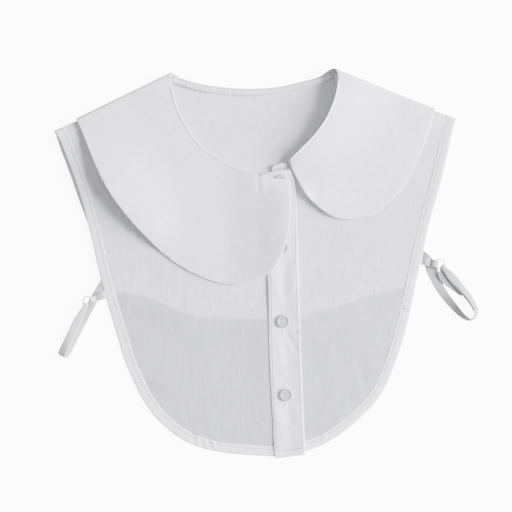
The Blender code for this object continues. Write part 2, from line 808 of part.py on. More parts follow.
def build_button(name, centre):
    """A dished disc with four holes, just clear of the placket under it."""
    outline = circle((0, 0), BUTTON_RADIUS, BUTTON_SIDES)
    offsets = [(sx * BUTTON_HOLE_OFFSET, sy * BUTTON_HOLE_OFFSET) for sx in (-1, 1) for sy in (-1, 1)]
    holes = [circle(offset, BUTTON_HOLE_RADIUS, 8) for offset in offsets]
    lip = circle((0, 0), BUTTON_RADIUS - BUTTON_LIP, BUTTON_SIDES)
    crest = circle((0, 0), BUTTON_DISH_RADIUS + BUTTON_DISH_SLOPE, BUTTON_SIDES)
    dish = circle((0, 0), BUTTON_DISH_RADIUS, BUTTON_SIDES)
    lines = [ring + ring[:1] for ring in (lip, crest, dish)]
    flat, faces = triangles(outline, holes, lines)
    seat = max(placket_height(Vector(centre) + p) for p in outline) + WALL / 2 + GAP

    def top(point):
        if point.length > BUTTON_RADIUS - BUTTON_LIP / 2:
            return BUTTON_THICKNESS - BUTTON_LIP_DROP
        dished = point.length < BUTTON_DISH_RADIUS + BUTTON_DISH_SLOPE / 2
        return BUTTON_THICKNESS - (BUTTON_DISH_DEPTH if dished else 0.0)

    count = len(flat)
    points = [(p.x + centre[0], p.y + centre[1], seat + top(p)) for p in flat]
    points += [(p.x + centre[0], p.y + centre[1], seat) for p in flat]
    closed = list(faces)
    closed += [(a + count, c + count, b + count) for a, b, c in faces]
    closed += [(a, a + count, b + count, b) for a, b in rim(faces)]
    return solid(name, points, closed, RESIN, 0.35)


# Elastic loops, tabs and rings; a station is a middle point and half the ribbon's width as a vector

def ribbon(name, stations):
    """A flat ribbon through its stations, square in section."""
    points = []
    for i, (middle, half) in enumerate(stations):
        travel = stations[min(i + 1, len(stations) - 1)][0] - stations[max(i - 1, 0)][0]
        lift = travel.cross(half).normalized() * (WALL / 2)
        points += [middle + half + lift, middle - half + lift, middle - half - lift, middle + half - lift]
    faces = [(3, 2, 1, 0)]
    for i in range(len(stations) - 1):
        first = 4 * i
        for k in range(4):
            after = first + (k + 1) % 4
            faces.append((first + k, after, after + 4, first + 4 + k))
    last = 4 * (len(stations) - 1)
    faces.append((last, last + 1, last + 2, last + 3))
    return solid(name, points, faces, ELASTIC)


def run(rows, side=1, step=0.0035):
    """Stations of a free stretch; its rows give x, y, z, bank in degrees and width."""
    scaled = [(x, y, z, bank / BANK_SCALE, width) for x, y, z, bank, width in rows]
    points = even(smooth(scaled), step)
    stations = []
    for i, point in enumerate(points):
        travel = (points[min(i + 1, len(points) - 1)] - points[max(i - 1, 0)]).to_2d().normalized()
        bank = math.radians(point[3] * BANK_SCALE)
        level = Vector((-travel.y, travel.x, 0)) * math.cos(bank)
        half = (level + Vector((0, 0, math.sin(bank)))) * (side * point[4] / 2)
        stations.append((point.to_3d(), half))
    return stations


def turn(middle, heading, half, radius, first, last, steps=7):
    """Stations round a fold whose far side points along the heading; -90 is its underside."""
    stations = []
    for i in range(steps):
        angle = math.radians(first + (last - first) * i / (steps - 1))
        offset = heading * math.cos(angle) + Vector((0, 0, math.sin(angle)))
        stations.append((middle + offset * radius, half))
    return stations


def wrap(ring, heading):
    """Stations of a ribbon that comes in over a ring's wire, goes down through it and back."""
    heading = heading.normalized()
    half = Vector((-heading.y, heading.x, 0)) * (STRAP_NECKED / 2)
    middle = ring - heading * WRAP_INSET
    return turn(middle, heading, half, WRAP_RADIUS, 90, -90)


def build_ring(name, centre):
    bpy.ops.mesh.primitive_torus_add(
        location=centre,
        major_radius=RING_RADIUS,
        minor_radius=RING_WIRE,
        major_segments=24,
        minor_segments=8,
    )
    made = bpy.context.object
    made.name = name
    made.data.name = name
    made.data.materials.append(material(name, RESIN, 0.35))
    made.data.shade_smooth()
    return made


def build_tab(name, ring, edge, edge_half):
    """A short doubled tab from a front's edge round its ring."""
    heading = ring - edge
    heading.z = 0.0
    bend = wrap(ring, heading)
    low = bend[-1][0].z
    half = bend[0][1] * TAB_SPREAD
    spot = bend[0][0].lerp(edge, TAB_BACK)
    top = [
        (Vector((edge.x, edge.y, low + PITCH)), edge_half),
        (Vector((spot.x, spot.y, bend[0][0].z - TAB_SAG)), half),
    ]
    back = [
        (Vector((spot.x, spot.y, low)), half),
        (Vector((edge.x, edge.y, low)), edge_half),
    ]
    return ribbon(name, top + bend + back)


def build_strap_left():
    """Down along the floor, a flat fold, and back up over itself to the ring."""
    ring = Vector(RING_LEFT)
    build_ring("ring_left", ring)
    build_tab("tab_left", ring, Vector(TAB_LEFT_SEAM), Vector(TAB_LEFT_HALF))
    lower = run(STRAP_LEFT_LOWER)
    start = (Vector(STRAP_LEFT_SEAM), Vector(STRAP_LEFT_HALF))
    heading = Vector(STRAP_LEFT_HEADING).normalized()
    fold = []
    bends = turn(Vector(STRAP_LEFT_FOLD), heading, lower[-1][1], STRAP_FOLD, -90, 90)
    for i, (middle, half) in enumerate(bends):
        fold.append((middle + Vector(STRAP_LEFT_SLIDE) * (i / (len(bends) - 1)), half))
    upper = run(STRAP_LEFT_UPPER, side=-1)
    bend = [(middle, -half) for middle, half in wrap(ring, -heading)]
    stub = [(bend[-1][0] + heading * STRAP_STUB, bend[-1][1])]
    ribbon("strap_left", [start] + lower + fold + upper + bend + stub)


def build_strap_right():
    """An open loop that stands on edge at its far end."""
    ring = Vector(RING_RIGHT)
    build_ring("ring_right", ring)
    build_tab("tab_right", ring, Vector(TAB_RIGHT_SEAM), Vector(TAB_RIGHT_HALF))
    heading = Vector(STRAP_RIGHT_HEADING).normalized()
    start = (Vector(STRAP_RIGHT_SEAM), Vector(STRAP_RIGHT_HALF))
    tail = run(STRAP_RIGHT_TAIL, side=-1)
    ribbon("strap_right", [start] + run(STRAP_RIGHT_LOOP) + wrap(ring, heading) + tail)


def main():
    for old in list(bpy.data.objects):
        bpy.data.objects.remove(old)
    build_body()
    build_collar()
    build_trim()
    for number, centre in enumerate(BUTTONS, 1):
        build_button(f"button_{number}", centre)
    build_strap_left()
    build_strap_right()


main()
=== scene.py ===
import math

import bmesh
import bpy
import numpy as np
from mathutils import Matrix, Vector
from mathutils.bvhtree import BVHTree
from mathutils.geometry import delaunay_2d_cdt
from mathutils.kdtree import KDTree


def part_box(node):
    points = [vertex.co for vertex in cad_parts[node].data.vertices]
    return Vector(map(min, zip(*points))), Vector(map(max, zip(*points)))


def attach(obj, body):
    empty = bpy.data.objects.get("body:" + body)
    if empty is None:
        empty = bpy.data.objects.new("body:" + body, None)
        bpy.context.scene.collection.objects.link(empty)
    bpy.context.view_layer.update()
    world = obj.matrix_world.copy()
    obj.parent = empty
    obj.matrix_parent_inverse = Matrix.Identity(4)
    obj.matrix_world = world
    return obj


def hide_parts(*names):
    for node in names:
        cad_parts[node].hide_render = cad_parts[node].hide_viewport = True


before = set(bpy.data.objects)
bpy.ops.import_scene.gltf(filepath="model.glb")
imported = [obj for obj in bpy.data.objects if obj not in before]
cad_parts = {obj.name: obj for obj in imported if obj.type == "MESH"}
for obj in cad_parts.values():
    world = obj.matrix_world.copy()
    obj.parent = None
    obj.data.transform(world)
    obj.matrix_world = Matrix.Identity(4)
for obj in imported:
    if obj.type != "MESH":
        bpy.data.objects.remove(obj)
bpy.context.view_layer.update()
mm = 0.001
print("frame loaded")


# meshes from points

def newObject(name, data):
    made = bpy.data.objects.new(name, data)
    bpy.context.scene.collection.objects.link(made)
    return made


def newPiece(name, points, faces, material):
    mesh = bpy.data.meshes.new(name)
    mesh.from_pydata([tuple(p) for p in points], [], [tuple(f) for f in faces])
    mesh.validate()
    mesh.materials.append(material)
    mesh.shade_smooth()
    piece = newObject(name, mesh)
    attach(piece, "root")
    return piece


def centreOf(node):
    return [(a + b) / 2 for a, b in zip(*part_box(node))]


# how far along a line each of its points lies
def runOf(line):
    return np.concatenate([[0], np.cumsum(np.linalg.norm(np.diff(line, axis=0), axis=1))])


# evenly spaced points on a smooth line through the given ones
def curveThrough(points, step):
    points = np.array(points, float)
    knots = runOf(points)
    slopes = np.gradient(points, knots, axis=0, edge_order=1)
    fine = np.linspace(0, knots[-1], max(2, int(knots[-1] / (step / 4))))
    index = np.clip(np.searchsorted(knots, fine, side="right") - 1, 0, len(knots) - 2)
    span = (knots[index + 1] - knots[index])[:, None]
    t = (fine[:, None] - knots[index][:, None]) / span
    line = (
        (2 * t**3 - 3 * t**2 + 1) * points[index]
        + (t**3 - 2 * t**2 + t) * span * slopes[index]
        + (3 * t**2 - 2 * t**3) * points[index + 1]
        + (t**3 - t**2) * span * slopes[index + 1]
    )
    return evenly(line, step)


def evenly(line, step):
    line = np.array(line, float)
    knots = runOf(line)
    count = max(2, round(knots[-1] / step) + 1)
    targets = np.linspace(0, knots[-1], count)
    return np.stack([np.interp(targets, knots, line[:, k]) for k in range(line.shape[1])], axis=1)


# the middle surface of a cloth wall, from its solid

weld = 2e-5  # nearer points are one
wallAngle = math.radians(50)  # a sharper edge parts a wall's sides


def middleSurface(node):
    bm = bmesh.new()
    bm.from_mesh(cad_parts[node].data)
    bmesh.ops.remove_doubles(bm, verts=bm.verts, dist=weld)
    sharp = [e for e in bm.edges if len(e.link_faces) == 2 and e.calc_face_angle() > wallAngle]
    bmesh.ops.split_edges(bm, edges=sharp)
    islands = []
    seen = set()
    for face in bm.faces:
        if face in seen:
            continue
        seen.add(face)
        island, front = [face], [face]
        while front:
            for edge in front.pop().edges:
                for other in edge.link_faces:
                    if other not in seen:
                        seen.add(other)
                        island.append(other)
                        front.append(other)
        islands.append(island)
    islands.sort(key=lambda faces: -sum(f.calc_area() for f in faces))
    over, under = islands[0], islands[1]
    corners = [[v.co.copy() for v in f.verts] for f in under]
    flat = [c for face in corners for c in face]
    tree = BVHTree.FromPolygons(flat, [(3 * i, 3 * i + 1, 3 * i + 2) for i in range(len(corners))])
    for vert in {v for f in over for v in f.verts}:
        near, _, _, _ = tree.find_nearest(vert.co)
        vert.co = (vert.co + near) / 2
    bmesh.ops.delete(bm, geom=[f for island in islands[1:] for f in island], context="FACES")
    return bm


# the outline of an open surface, as vertices in order
def rimLoop(bm):
    follow = {}
    for edge in bm.edges:
        if len(edge.link_loops) == 1:
            loop = edge.link_loops[0]
            follow[loop.vert] = loop.link_loop_next.vert
    start = next(iter(follow))
    order = [start]
    while follow[order[-1]] is not start:
        order.append(follow[order[-1]])
    return order


# how far the outline turns at each point, seen over a reach in metres
def rimTurns(order, reach=0.0):
    turns = []
    size = len(order)
    for i, vert in enumerate(order):
        sides = []
        for way in (-1, 1):
            k = 1
            while (order[(i + way * k) % size].co - vert.co).length < reach and k < 6:
                k += 1
            sides.append((order[(i + way * k) % size].co - vert.co) * way)
        turns.append(sides[0].angle(sides[1], 0.0))
    return turns


# panels: a fine thin cloth with a rolled edge

panel = {
    "levels": 3,
    "cornerReach": 0.0022,
    "cornerAngle": 38,  # sharper corners of the outline stay crisp
    "rimRows": (0.7, 0.25),  # widths of the narrow rows at the rim, as shares of its roll
}


def step01(value, low, high):
    t = np.clip((value - low) / (high - low), 0, 1)
    return t * t * (3 - 2 * t)


# a soft fold along a line: ends in mm, half width, height
def ridge(x, y, row):
    x0, y0, x1, y1, width, height = row
    dx, dy = x1 - x0, y1 - y0
    length = math.hypot(dx, dy)
    t = ((x - x0) * dx + (y - y0) * dy) / length**2
    across = ((x - x0) * dy - (y - y0) * dx) / length
    fade = step01(t, 0.0, 0.25) * step01(1 - t, 0.0, 0.25)
    return height * fade * np.exp(-((across / width) ** 2))


# the shallow waves that ironing leaves, in mm
def pressed(x, y):
    waves = (
        (41, 17, 0.3, 0.050), (-23, 47, 1.9, 0.050), (29, -31, 4.1, 0.035), (13, 19, 2.2, 0.016),
        (-17, 11, 5, 0.016), (9, -12, 0.9, 0.008),
    )
    total = np.zeros_like(x)
    for wx, wy, phase, height in waves:
        size = wx * wx + wy * wy
        total += height * np.sin(2 * np.pi * (x * wx + y * wy) / size + phase)
    return total


def vertexData(mesh, name):
    values = np.empty(len(mesh.vertices) * 3)
    mesh.vertices.foreach_get(name, values)
    return values.reshape(-1, 3)


def rimEdges(faces):
    edges = {}
    for face in faces:
        for a, b in zip(face, face[1:] + face[:1]):
            edges[(a, b)] = True
    return [edge for edge in edges if (edge[1], edge[0]) not in edges]


def clothPanel(name, node, look, folds, material, layers=None, rise=None):
    thickness, roll = look["thickness"], look["roll"]
    bm = middleSurface(node)
    crease = bm.verts.layers.float.new("crease_vert")
    order = rimLoop(bm)
    for vert, turn in zip(order, rimTurns(order, panel["cornerReach"])):
        if turn > math.radians(panel["cornerAngle"]):
            vert[crease] = 1.0
    mesh = bpy.data.meshes.new(name + "_flat")
    bm.to_mesh(mesh)
    bm.free()
    flat = newObject(name + "_flat", mesh)
    smooth = flat.modifiers.new("smooth", "SUBSURF")
    smooth.levels = smooth.render_levels = panel["levels"]
    smooth.boundary_smooth = "ALL"
    fine = bpy.data.meshes.new_from_object(flat.evaluated_get(bpy.context.evaluated_depsgraph_get()))
    bpy.data.objects.remove(flat)
    bm = bmesh.new()
    bm.from_mesh(fine)
    for share in panel["rimRows"]:
        bmesh.ops.inset_region(
            bm, faces=bm.faces, thickness=share * roll, use_boundary=True, use_even_offset=False
        )
    bm.to_mesh(fine)
    bm.free()
    points, normals = vertexData(fine, "co"), vertexData(fine, "normal")
    faces = [tuple(p.vertices) for p in fine.polygons]
    x, y = points[:, 0] / mm, points[:, 1] / mm
    lift = pressed(x, y)
    for row in folds:
        lift = lift + ridge(x, y, row)
    if rise:
        lift = lift + rise(x, y, points[:, 2] / mm)
    points[:, 2] = np.maximum(points[:, 2] + lift * mm, thickness / 2)  # never under the floor

    edges = rimEdges(faces)
    onRim = sorted({i for edge in edges for i in edge})
    tree = KDTree(2 * len(edges))
    for i, (a, b) in enumerate(edges):
        tree.insert(points[a], 2 * i)
        tree.insert((points[a] + points[b]) / 2, 2 * i + 1)
    tree.balance()
    inward = np.array([tree.find(p)[2] for p in points])
    share = 1 - np.clip(inward / roll, 0, 1)
    half = thickness / 2 * np.sqrt(np.maximum(0.0, 1 - share**2))
    half[onRim] = 0.0
    rim, lower, under = set(onRim), [], []
    for i in range(len(points)):
        lower.append(i if i in rim else len(points) + len(under))
        if i not in rim:
            under.append(points[i] - normals[i] * half[i])
    upper = points + normals * half[:, None]
    allFaces = list(faces) + [tuple(lower[i] for i in reversed(face)) for face in faces]
    piece = newPiece(name, np.vstack([upper, np.array(under)]), allFaces, material)
    bpy.data.meshes.remove(fine)
    if layers:
        paint = piece.data.attributes.new("layers", "FLOAT", "POINT")
        where = vertexData(piece.data, "co") / mm
        paint.data.foreach_set("value", layers(where[:, 0], where[:, 1]).astype(np.float32))
    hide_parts(node)
    print(name, len(piece.data.polygons), "faces")
    return piece


# strips: bands, bindings and elastic swept between two edges

def rimOf(node):
    bm = middleSurface(node)
    order = rimLoop(bm)
    points, turns = np.array([tuple(v.co) for v in order]), np.array(rimTurns(order))
    bm.free()
    return points, turns


# both rows from the end that lies nearer to a spot
def startAt(spot, left, right):
    if np.linalg.norm(left[-1] - spot) < np.linalg.norm(left[0] - spot):
        return left[::-1], right[::-1]
    return left, right


# both long edges of a strip's middle surface, as matching rows of points
def twoEdges(node, step, firstNear=None):
    points, turns = rimOf(node)
    corners = sorted(sorted(range(len(points)), key=lambda i: -turns[i])[:4])
    runs = []
    for a, b in zip(corners, corners[1:] + [corners[0] + len(points)]):
        runs.append(np.array([points[i % len(points)] for i in range(a, b + 1)]))
    lengths = [runOf(run)[-1] for run in runs]
    first = 0 if lengths[0] + lengths[2] > lengths[1] + lengths[3] else 1
    left, right = runs[first], runs[first + 2][::-1]
    if firstNear is not None:
        left, right = startAt(firstNear, left, right)
    left = curveThrough(left, step)
    dense = curveThrough(right, step / 3)
    window = max(3, int(len(dense) * 0.04))
    picks = []
    for i, point in enumerate(left):
        guess = round(i / (len(left) - 1) * (len(dense) - 1))
        low, high = max(0, guess - window), min(len(dense), guess + window + 1)
        # height counts more, so that no pair joins the two sides of a fold
        gaps = np.linalg.norm((dense[low:high] - point) * (1, 1, 3), axis=1)
        picks.append(low + int(np.argmin(gaps)))
    picks = np.maximum.accumulate(np.array(picks, float))
    picks[0], picks[-1] = 0, len(dense) - 1
    reach = min(5, len(picks) // 3)
    padded = np.pad(picks, reach, mode="reflect", reflect_type="odd")
    picks = np.convolve(padded, np.ones(2 * reach + 1) / (2 * reach + 1), mode="valid")
    whole = np.clip(picks.astype(int), 0, len(dense) - 2)
    part = (picks - whole)[:, None]
    right = dense[whole] * (1 - part) + dense[whole + 1] * part
    return left, right


# both edges of a ribbon whose rim has one point on each side for every station
def loopEdges(node, step, firstNear):
    points, turns = rimOf(node)
    half = len(points) // 2
    sharpest = turns + np.roll(turns, -1) + np.roll(turns, -half) + np.roll(turns, -half - 1)
    k = int(np.argmax(sharpest[:half]))
    left = points[[(k - i) % len(points) for i in range(half)]]
    right = points[[(k + 1 + i) % len(points) for i in range(half)]]
    left, right = startAt(firstNear, left, right)
    both = curveThrough(np.hstack([left, right]), step * math.sqrt(2))
    return both[:, :3], both[:, 3:]


def stripNormals(left, right, upAt=-1):
    travel = np.gradient((left + right) / 2, axis=0)
    normals = np.cross(right - left, travel)
    normals /= np.linalg.norm(normals, axis=1)[:, None]
    for i in range(1, len(normals)):
        if normals[i] @ normals[i - 1] < 0:
            normals[i] = -normals[i]
    if normals[upAt][2] < 0:
        normals = -normals
    return normals


# a closed strip; its section is a ring of (share across, height in mm); the wobble moves only its top, the
# bend lifts all of it
def sweptStrip(name, left, right, normals, section, material, wobble=None, bend=None):
    rings = []
    run = runOf(left)
    for i in range(len(left)):
        ring = []
        for share, height in section:
            point = left[i] + (right[i] - left[i]) * share
            extra = wobble(run[i] / mm, share, point) if wobble and height > 0 else 0.0
            point = point + normals[i] * (height + extra) * mm
            if bend:
                point[2] += bend(run[i] / run[-1], run[i] / mm, share) * mm
            point[2] = max(point[2], 0.0)
            ring.append(point)
        rings.append(ring)
    size = len(section)
    points = [p for ring in rings for p in ring]
    faces = []
    for i in range(len(rings) - 1):
        for k in range(size):
            a, b = i * size + k, i * size + (k + 1) % size
            faces.append((a, b, b + size, a + size))
    for i, way in ((0, -1), (len(rings) - 1, 1)):
        faces += [(i * size + k, i * size + (k + 1) % size, len(points))[::way] for k in range(size)]
        points.append(np.mean(rings[i], axis=0))
    piece = newPiece(name, points, faces, material)
    bm = bmesh.new()
    bm.from_mesh(piece.data)
    bmesh.ops.recalc_face_normals(bm, faces=bm.faces)
    bm.to_mesh(piece.data)
    bm.free()
    along = piece.data.uv_layers.new(name="along")
    spots = [(run[i], k / size) for i in range(len(rings)) for k in range(size)] + [(0.0, 0.0), (run[-1], 0.0)]
    for loop in piece.data.loops:
        along.data[loop.index].uv = spots[loop.vertex_index]
    return piece


# stitches

stitchSection = 6


# one short thread from a to b, thick in the middle
def threadRun(a, b, thickness, points, faces):
    a, b = np.array(a), np.array(b)
    along = b - a
    along /= np.linalg.norm(along)
    side = np.cross(along, (0, 0, 1))
    if np.linalg.norm(side) < 0.1:
        side = np.cross(along, (0, 1, 0))
    side /= np.linalg.norm(side)
    rise = np.cross(side, along)
    first = len(points)
    rows = ((0.0, 0.35), (0.18, 0.85), (0.5, 1.0), (0.82, 0.85), (1.0, 0.35))
    for t, fat in rows:
        middle = a + (b - a) * t + rise * thickness * 0.25 * math.sin(math.pi * t)
        for k in range(stitchSection):
            turn = 2 * math.pi * k / stitchSection
            points.append(middle + (side * math.cos(turn) + rise * math.sin(turn)) * thickness / 2 * fat)
    for r in range(len(rows) - 1):
        for k in range(stitchSection):
            p = first + r * stitchSection + k
            q = first + r * stitchSection + (k + 1) % stitchSection
            faces.append((p, q, q + stitchSection, p + stitchSection))
    faces.append(tuple(first + k for k in reversed(range(stitchSection))))
    last = first + (len(rows) - 1) * stitchSection
    faces.append(tuple(last + k for k in range(stitchSection)))


# dashes along a line that already lies on the cloth
def stitchLine(line, pitch, length, thickness, points, faces):
    line = evenly(line, pitch)
    for a, b in zip(line, line[1:]):
        gap = (1 - length / np.linalg.norm(b - a)) / 2
        threadRun(a + (b - a) * gap, a + (b - a) * (1 - gap), thickness, points, faces)


# one piece with rows of stitches, whose size is their pitch, length and thickness; they are dark grey, painted
# shade of the needle holes
def stitchRows(name, rows, size):
    points, faces = [], []
    for row in rows:
        stitchLine(row, *size, points, faces)
    return newPiece(name, points, faces, stitchPaintedShade)


# a function that drops points onto the highest of these pieces
def topOf(pieces):
    trees = []
    for piece in pieces:
        bm = bmesh.new()
        bm.from_mesh(piece.data)
        trees.append(BVHTree.FromBMesh(bm))
        bm.free()

    def dropped(x, y):
        best = None
        for tree in trees:
            spot, normal, _, _ = tree.ray_cast(Vector((x, y, 0.1)), Vector((0, 0, -1)))
            if spot and (best is None or spot.z > best[0].z):
                best = (spot, normal)
        return best

    return dropped


# cloth, elastic and resin finishes

cottonLook = {
    "oneLayer": (0.500, 0.508, 0.522),  # the body below the back panel's hem
    "twoLayers": (0.690, 0.700, 0.716),  # where the back panel lies under the front
    "back": (0.730, 0.740, 0.756),
    "leaf": (0.790, 0.798, 0.814),
    "trim": (0.915, 0.925, 0.942),
    # painted shade: the bands turn darker towards the shoulders, from trim to this colour along Y
    "trimTopShade": (0.770, 0.780, 0.798),  # the bands towards the shoulders
    "placket": (0.905, 0.915, 0.930),
    # brighter than the leaf: painted highlight along the neck edge, added to the real shading of its ridges
    "piping": (0.930, 0.935, 0.945),
    "warm": (0.868, 0.858, 0.838),  # the placket's top
    "weave": 0.00034,  # one thread to the next, in metres
    "weaveHeight": 0.00003,
    "cloudScale": 140,
    "slubScale": 900,
    "grainScale": 620,
    "mottle": 0.14,
    "roughness": 0.86,
    "sheen": 0.12,
}


# valleyShade is painted shade in the elastic's rib valleys
elasticLook = {"ribPitch": 0.00085, "fuzzScale": 1300, "valleyShade": 0.66, "roughness": 0.8, "sheen": 0.15}


def nodesOf(name):
    material = bpy.data.materials.new(name)
    material.use_nodes = True
    tree = material.node_tree
    return material, tree, tree.nodes["Principled BSDF"]


# sets inputs of a node, each to a value or to another node's output
def feed(tree, node, inputs):
    for socket, value in inputs.items():
        if hasattr(value, "is_output"):
            tree.links.new(value, node.inputs[socket])
        else:
            node.inputs[socket].default_value = value


def newNode(tree, kind, inputs, **settings):
    node = tree.nodes.new("ShaderNode" + kind)
    for setting, value in settings.items():
        setattr(node, setting, value)
    feed(tree, node, inputs)
    return node


def objectSpace(tree):
    return newNode(tree, "TexCoord", {}).outputs["Object"]


def mixColours(tree, low, high, factor):
    low, high = (c if hasattr(c, "is_output") else (*c, 1.0) for c in (low, high))
    return newNode(tree, "Mix", {0: factor, 6: low, 7: high}, data_type="RGBA").outputs[2]


def mathNode(tree, operation, first, second):
    return newNode(tree, "Math", {0: first, 1: second}, operation=operation).outputs[0]


def noiseAt(tree, where, scale, detail, stretch=(1, 1, 1), turn=0.0):
    mapping = newNode(tree, "Mapping", {"Vector": where, "Rotation": (0, 0, turn), "Scale": stretch})
    inputs = {"Vector": mapping.outputs["Vector"], "Scale": scale, "Detail": detail}
    return newNode(tree, "TexNoise", inputs).outputs["Fac"]


def threads(tree, where, pitch, turn, axis):
    mapping = newNode(tree, "Mapping", {"Vector": where, "Rotation": (0, 0, turn)})
    inputs = {
        "Vector": mapping.outputs["Vector"],
        "Scale": 0.314159 / pitch,  # a wave's scale of 1 repeats after pi / 10
        "Distortion": 0.35,
        "Detail": 1.0,
        "Detail Scale": 2.0,
    }
    return newNode(tree, "TexWave", inputs, bands_direction=axis).outputs["Fac"]


# colours are named in cottonLook
def clothMaterial(name, colour, turn=0.0, second=None, streaks=0.0, tintAndShade=None):
    material, tree, shader = nodesOf(name)
    look = cottonLook
    where = objectSpace(tree)
    base = look[colour]
    if second:  # how many layers lie under this spot
        paint = newNode(tree, "Attribute", {}, attribute_name="layers")
        base = mixColours(tree, base, look[second], paint.outputs["Fac"])
    # the placket turns warmer towards its top; on the bands this turn is painted shade towards the shoulders
    if tintAndShade:  # a softly turning colour along Y
        split = newNode(tree, "SeparateXYZ", {0: where})
        ramp = newNode(tree, "MapRange", {"Value": split.outputs["Y"], "From Min": tintAndShade[1], "From Max": tintAndShade[2]})
        base = mixColours(tree, base, look[tintAndShade[0]], ramp.outputs["Result"])
    slub = noiseAt(tree, where, look["slubScale"], 2, (1.0, 0.12, 1.0), turn)
    darker = [
        (noiseAt(tree, where, look["cloudScale"], 3), look["mottle"] * 1.9),
        (slub, look["mottle"]),
        (noiseAt(tree, where, look["slubScale"], 2, (0.12, 1.0, 1.0), turn), look["mottle"] * 0.6),
    ]
    if streaks:
        darker.append((noiseAt(tree, where, look["grainScale"], 2, (1.0, 0.10, 1.0), turn), streaks))
    level = 1.0 + look["mottle"] * 1.75 + streaks / 2
    for part, weight in darker:
        level = mathNode(tree, "SUBTRACT", level, mathNode(tree, "MULTIPLY", part, weight))
    scaled = newNode(tree, "VectorMath", {0: base, "Scale": level}, operation="SCALE")
    weave = mathNode(tree, "MAXIMUM", *(threads(tree, where, look["weave"], turn, axis) for axis in "XY"))
    height = mathNode(tree, "ADD", weave, mathNode(tree, "MULTIPLY", slub, 1.2))
    bump = newNode(tree, "Bump", {"Height": height, "Strength": 0.35, "Distance": look["weaveHeight"]})
    feed(tree, shader, {
        "Base Color": scaled.outputs[0],
        "Normal": bump.outputs["Normal"],
        "Roughness": look["roughness"],
        "Specular IOR Level": 0.25,
        "Sheen Weight": look["sheen"],
        "Sheen Roughness": 0.5,
    })
    return material


def plainMaterial(name, colour, roughness, speckle=0.02, coat=0.0, transmission=0.0, subsurface=0.0):
    material, tree, shader = nodesOf(name)
    cloud = noiseAt(tree, objectSpace(tree), 420, 3)
    dark = tuple(c * (1 - speckle * 2) for c in colour)
    feed(tree, shader, {
        "Base Color": mixColours(tree, dark, colour, cloud),
        "Roughness": roughness,
        "Coat Weight": coat,
        "Transmission Weight": transmission,
        "Subsurface Weight": subsurface,
        "Subsurface Radius": (1.0, 1.0, 1.0),
        "Subsurface Scale": 0.0012,
    })
    return material


def elasticMaterial(name, colour):
    material, tree, shader = nodesOf(name)
    look = elasticLook
    along = newNode(tree, "UVMap", {}, uv_map="along").outputs["UV"]
    ribs = threads(tree, along, look["ribPitch"], 0.0, "X")
    fuzz = noiseAt(tree, objectSpace(tree), look["fuzzScale"], 2)
    height = mathNode(tree, "ADD", ribs, mathNode(tree, "MULTIPLY", fuzz, 0.8))
    # painted shade: the colour darkens in the rib valleys; the fuzz noise adds random tone
    dark = tuple(c * look["valleyShade"] for c in colour)
    bump = newNode(tree, "Bump", {"Height": height, "Strength": 0.8, "Distance": 0.0001})
    feed(tree, shader, {
        "Base Color": mixColours(tree, dark, colour, mathNode(tree, "MULTIPLY", height, 0.62)),
        "Normal": bump.outputs["Normal"],
        "Roughness": look["roughness"],
        "Sheen Weight": look["sheen"],
    })
    return material


bodyCloth = clothMaterial("bodyCloth", "oneLayer", 0.0, "twoLayers", 0.38)
backCloth = clothMaterial("backCloth", "back", 0.0, streaks=0.20)
leafCloth = clothMaterial("leafCloth", "leaf", 0.5)
placketCloth = clothMaterial("placketCloth", "placket", 0.02, tintAndShade=("warm", -0.02, 0.08))
# painted shade: this cloth darkens along Y towards the shoulders, also on the neck binding and shoulder seams
bandCloth = clothMaterial("bandCloth", "trim", 0.785, tintAndShade=("trimTopShade", -0.12, 0.12))
warmCloth = clothMaterial("warmCloth", "warm", 0.785)
# painted highlight: the neck seams are whiter than the leaf they lie on
pipingHighlightCloth = clothMaterial("pipingHighlightCloth", "piping", 0.4)
# painted shade: the stitches are dark grey to stand in for the shaded needle holes; the thread itself is white
stitchPaintedShade = plainMaterial("stitchPaintedShade", (0.17, 0.175, 0.185), 0.7)
buttonThread = plainMaterial("buttonThread", (0.93, 0.93, 0.93), 0.7)
resinFinish = plainMaterial("resinFinish", (0.47, 0.48, 0.495), 0.30, 0.03, coat=0.2, subsurface=0.5)
clearResin = plainMaterial("clearResin", (0.60, 0.63, 0.66), 0.22, 0.01, transmission=0.30)
elasticLeft = elasticMaterial("elasticLeft", (0.80, 0.81, 0.825))
# painted shade: the same elastic, darker, for the right loop and tab
elasticRightShaded = elasticMaterial("elasticRightShaded", (0.47, 0.48, 0.495))
print("finishes made")


# body

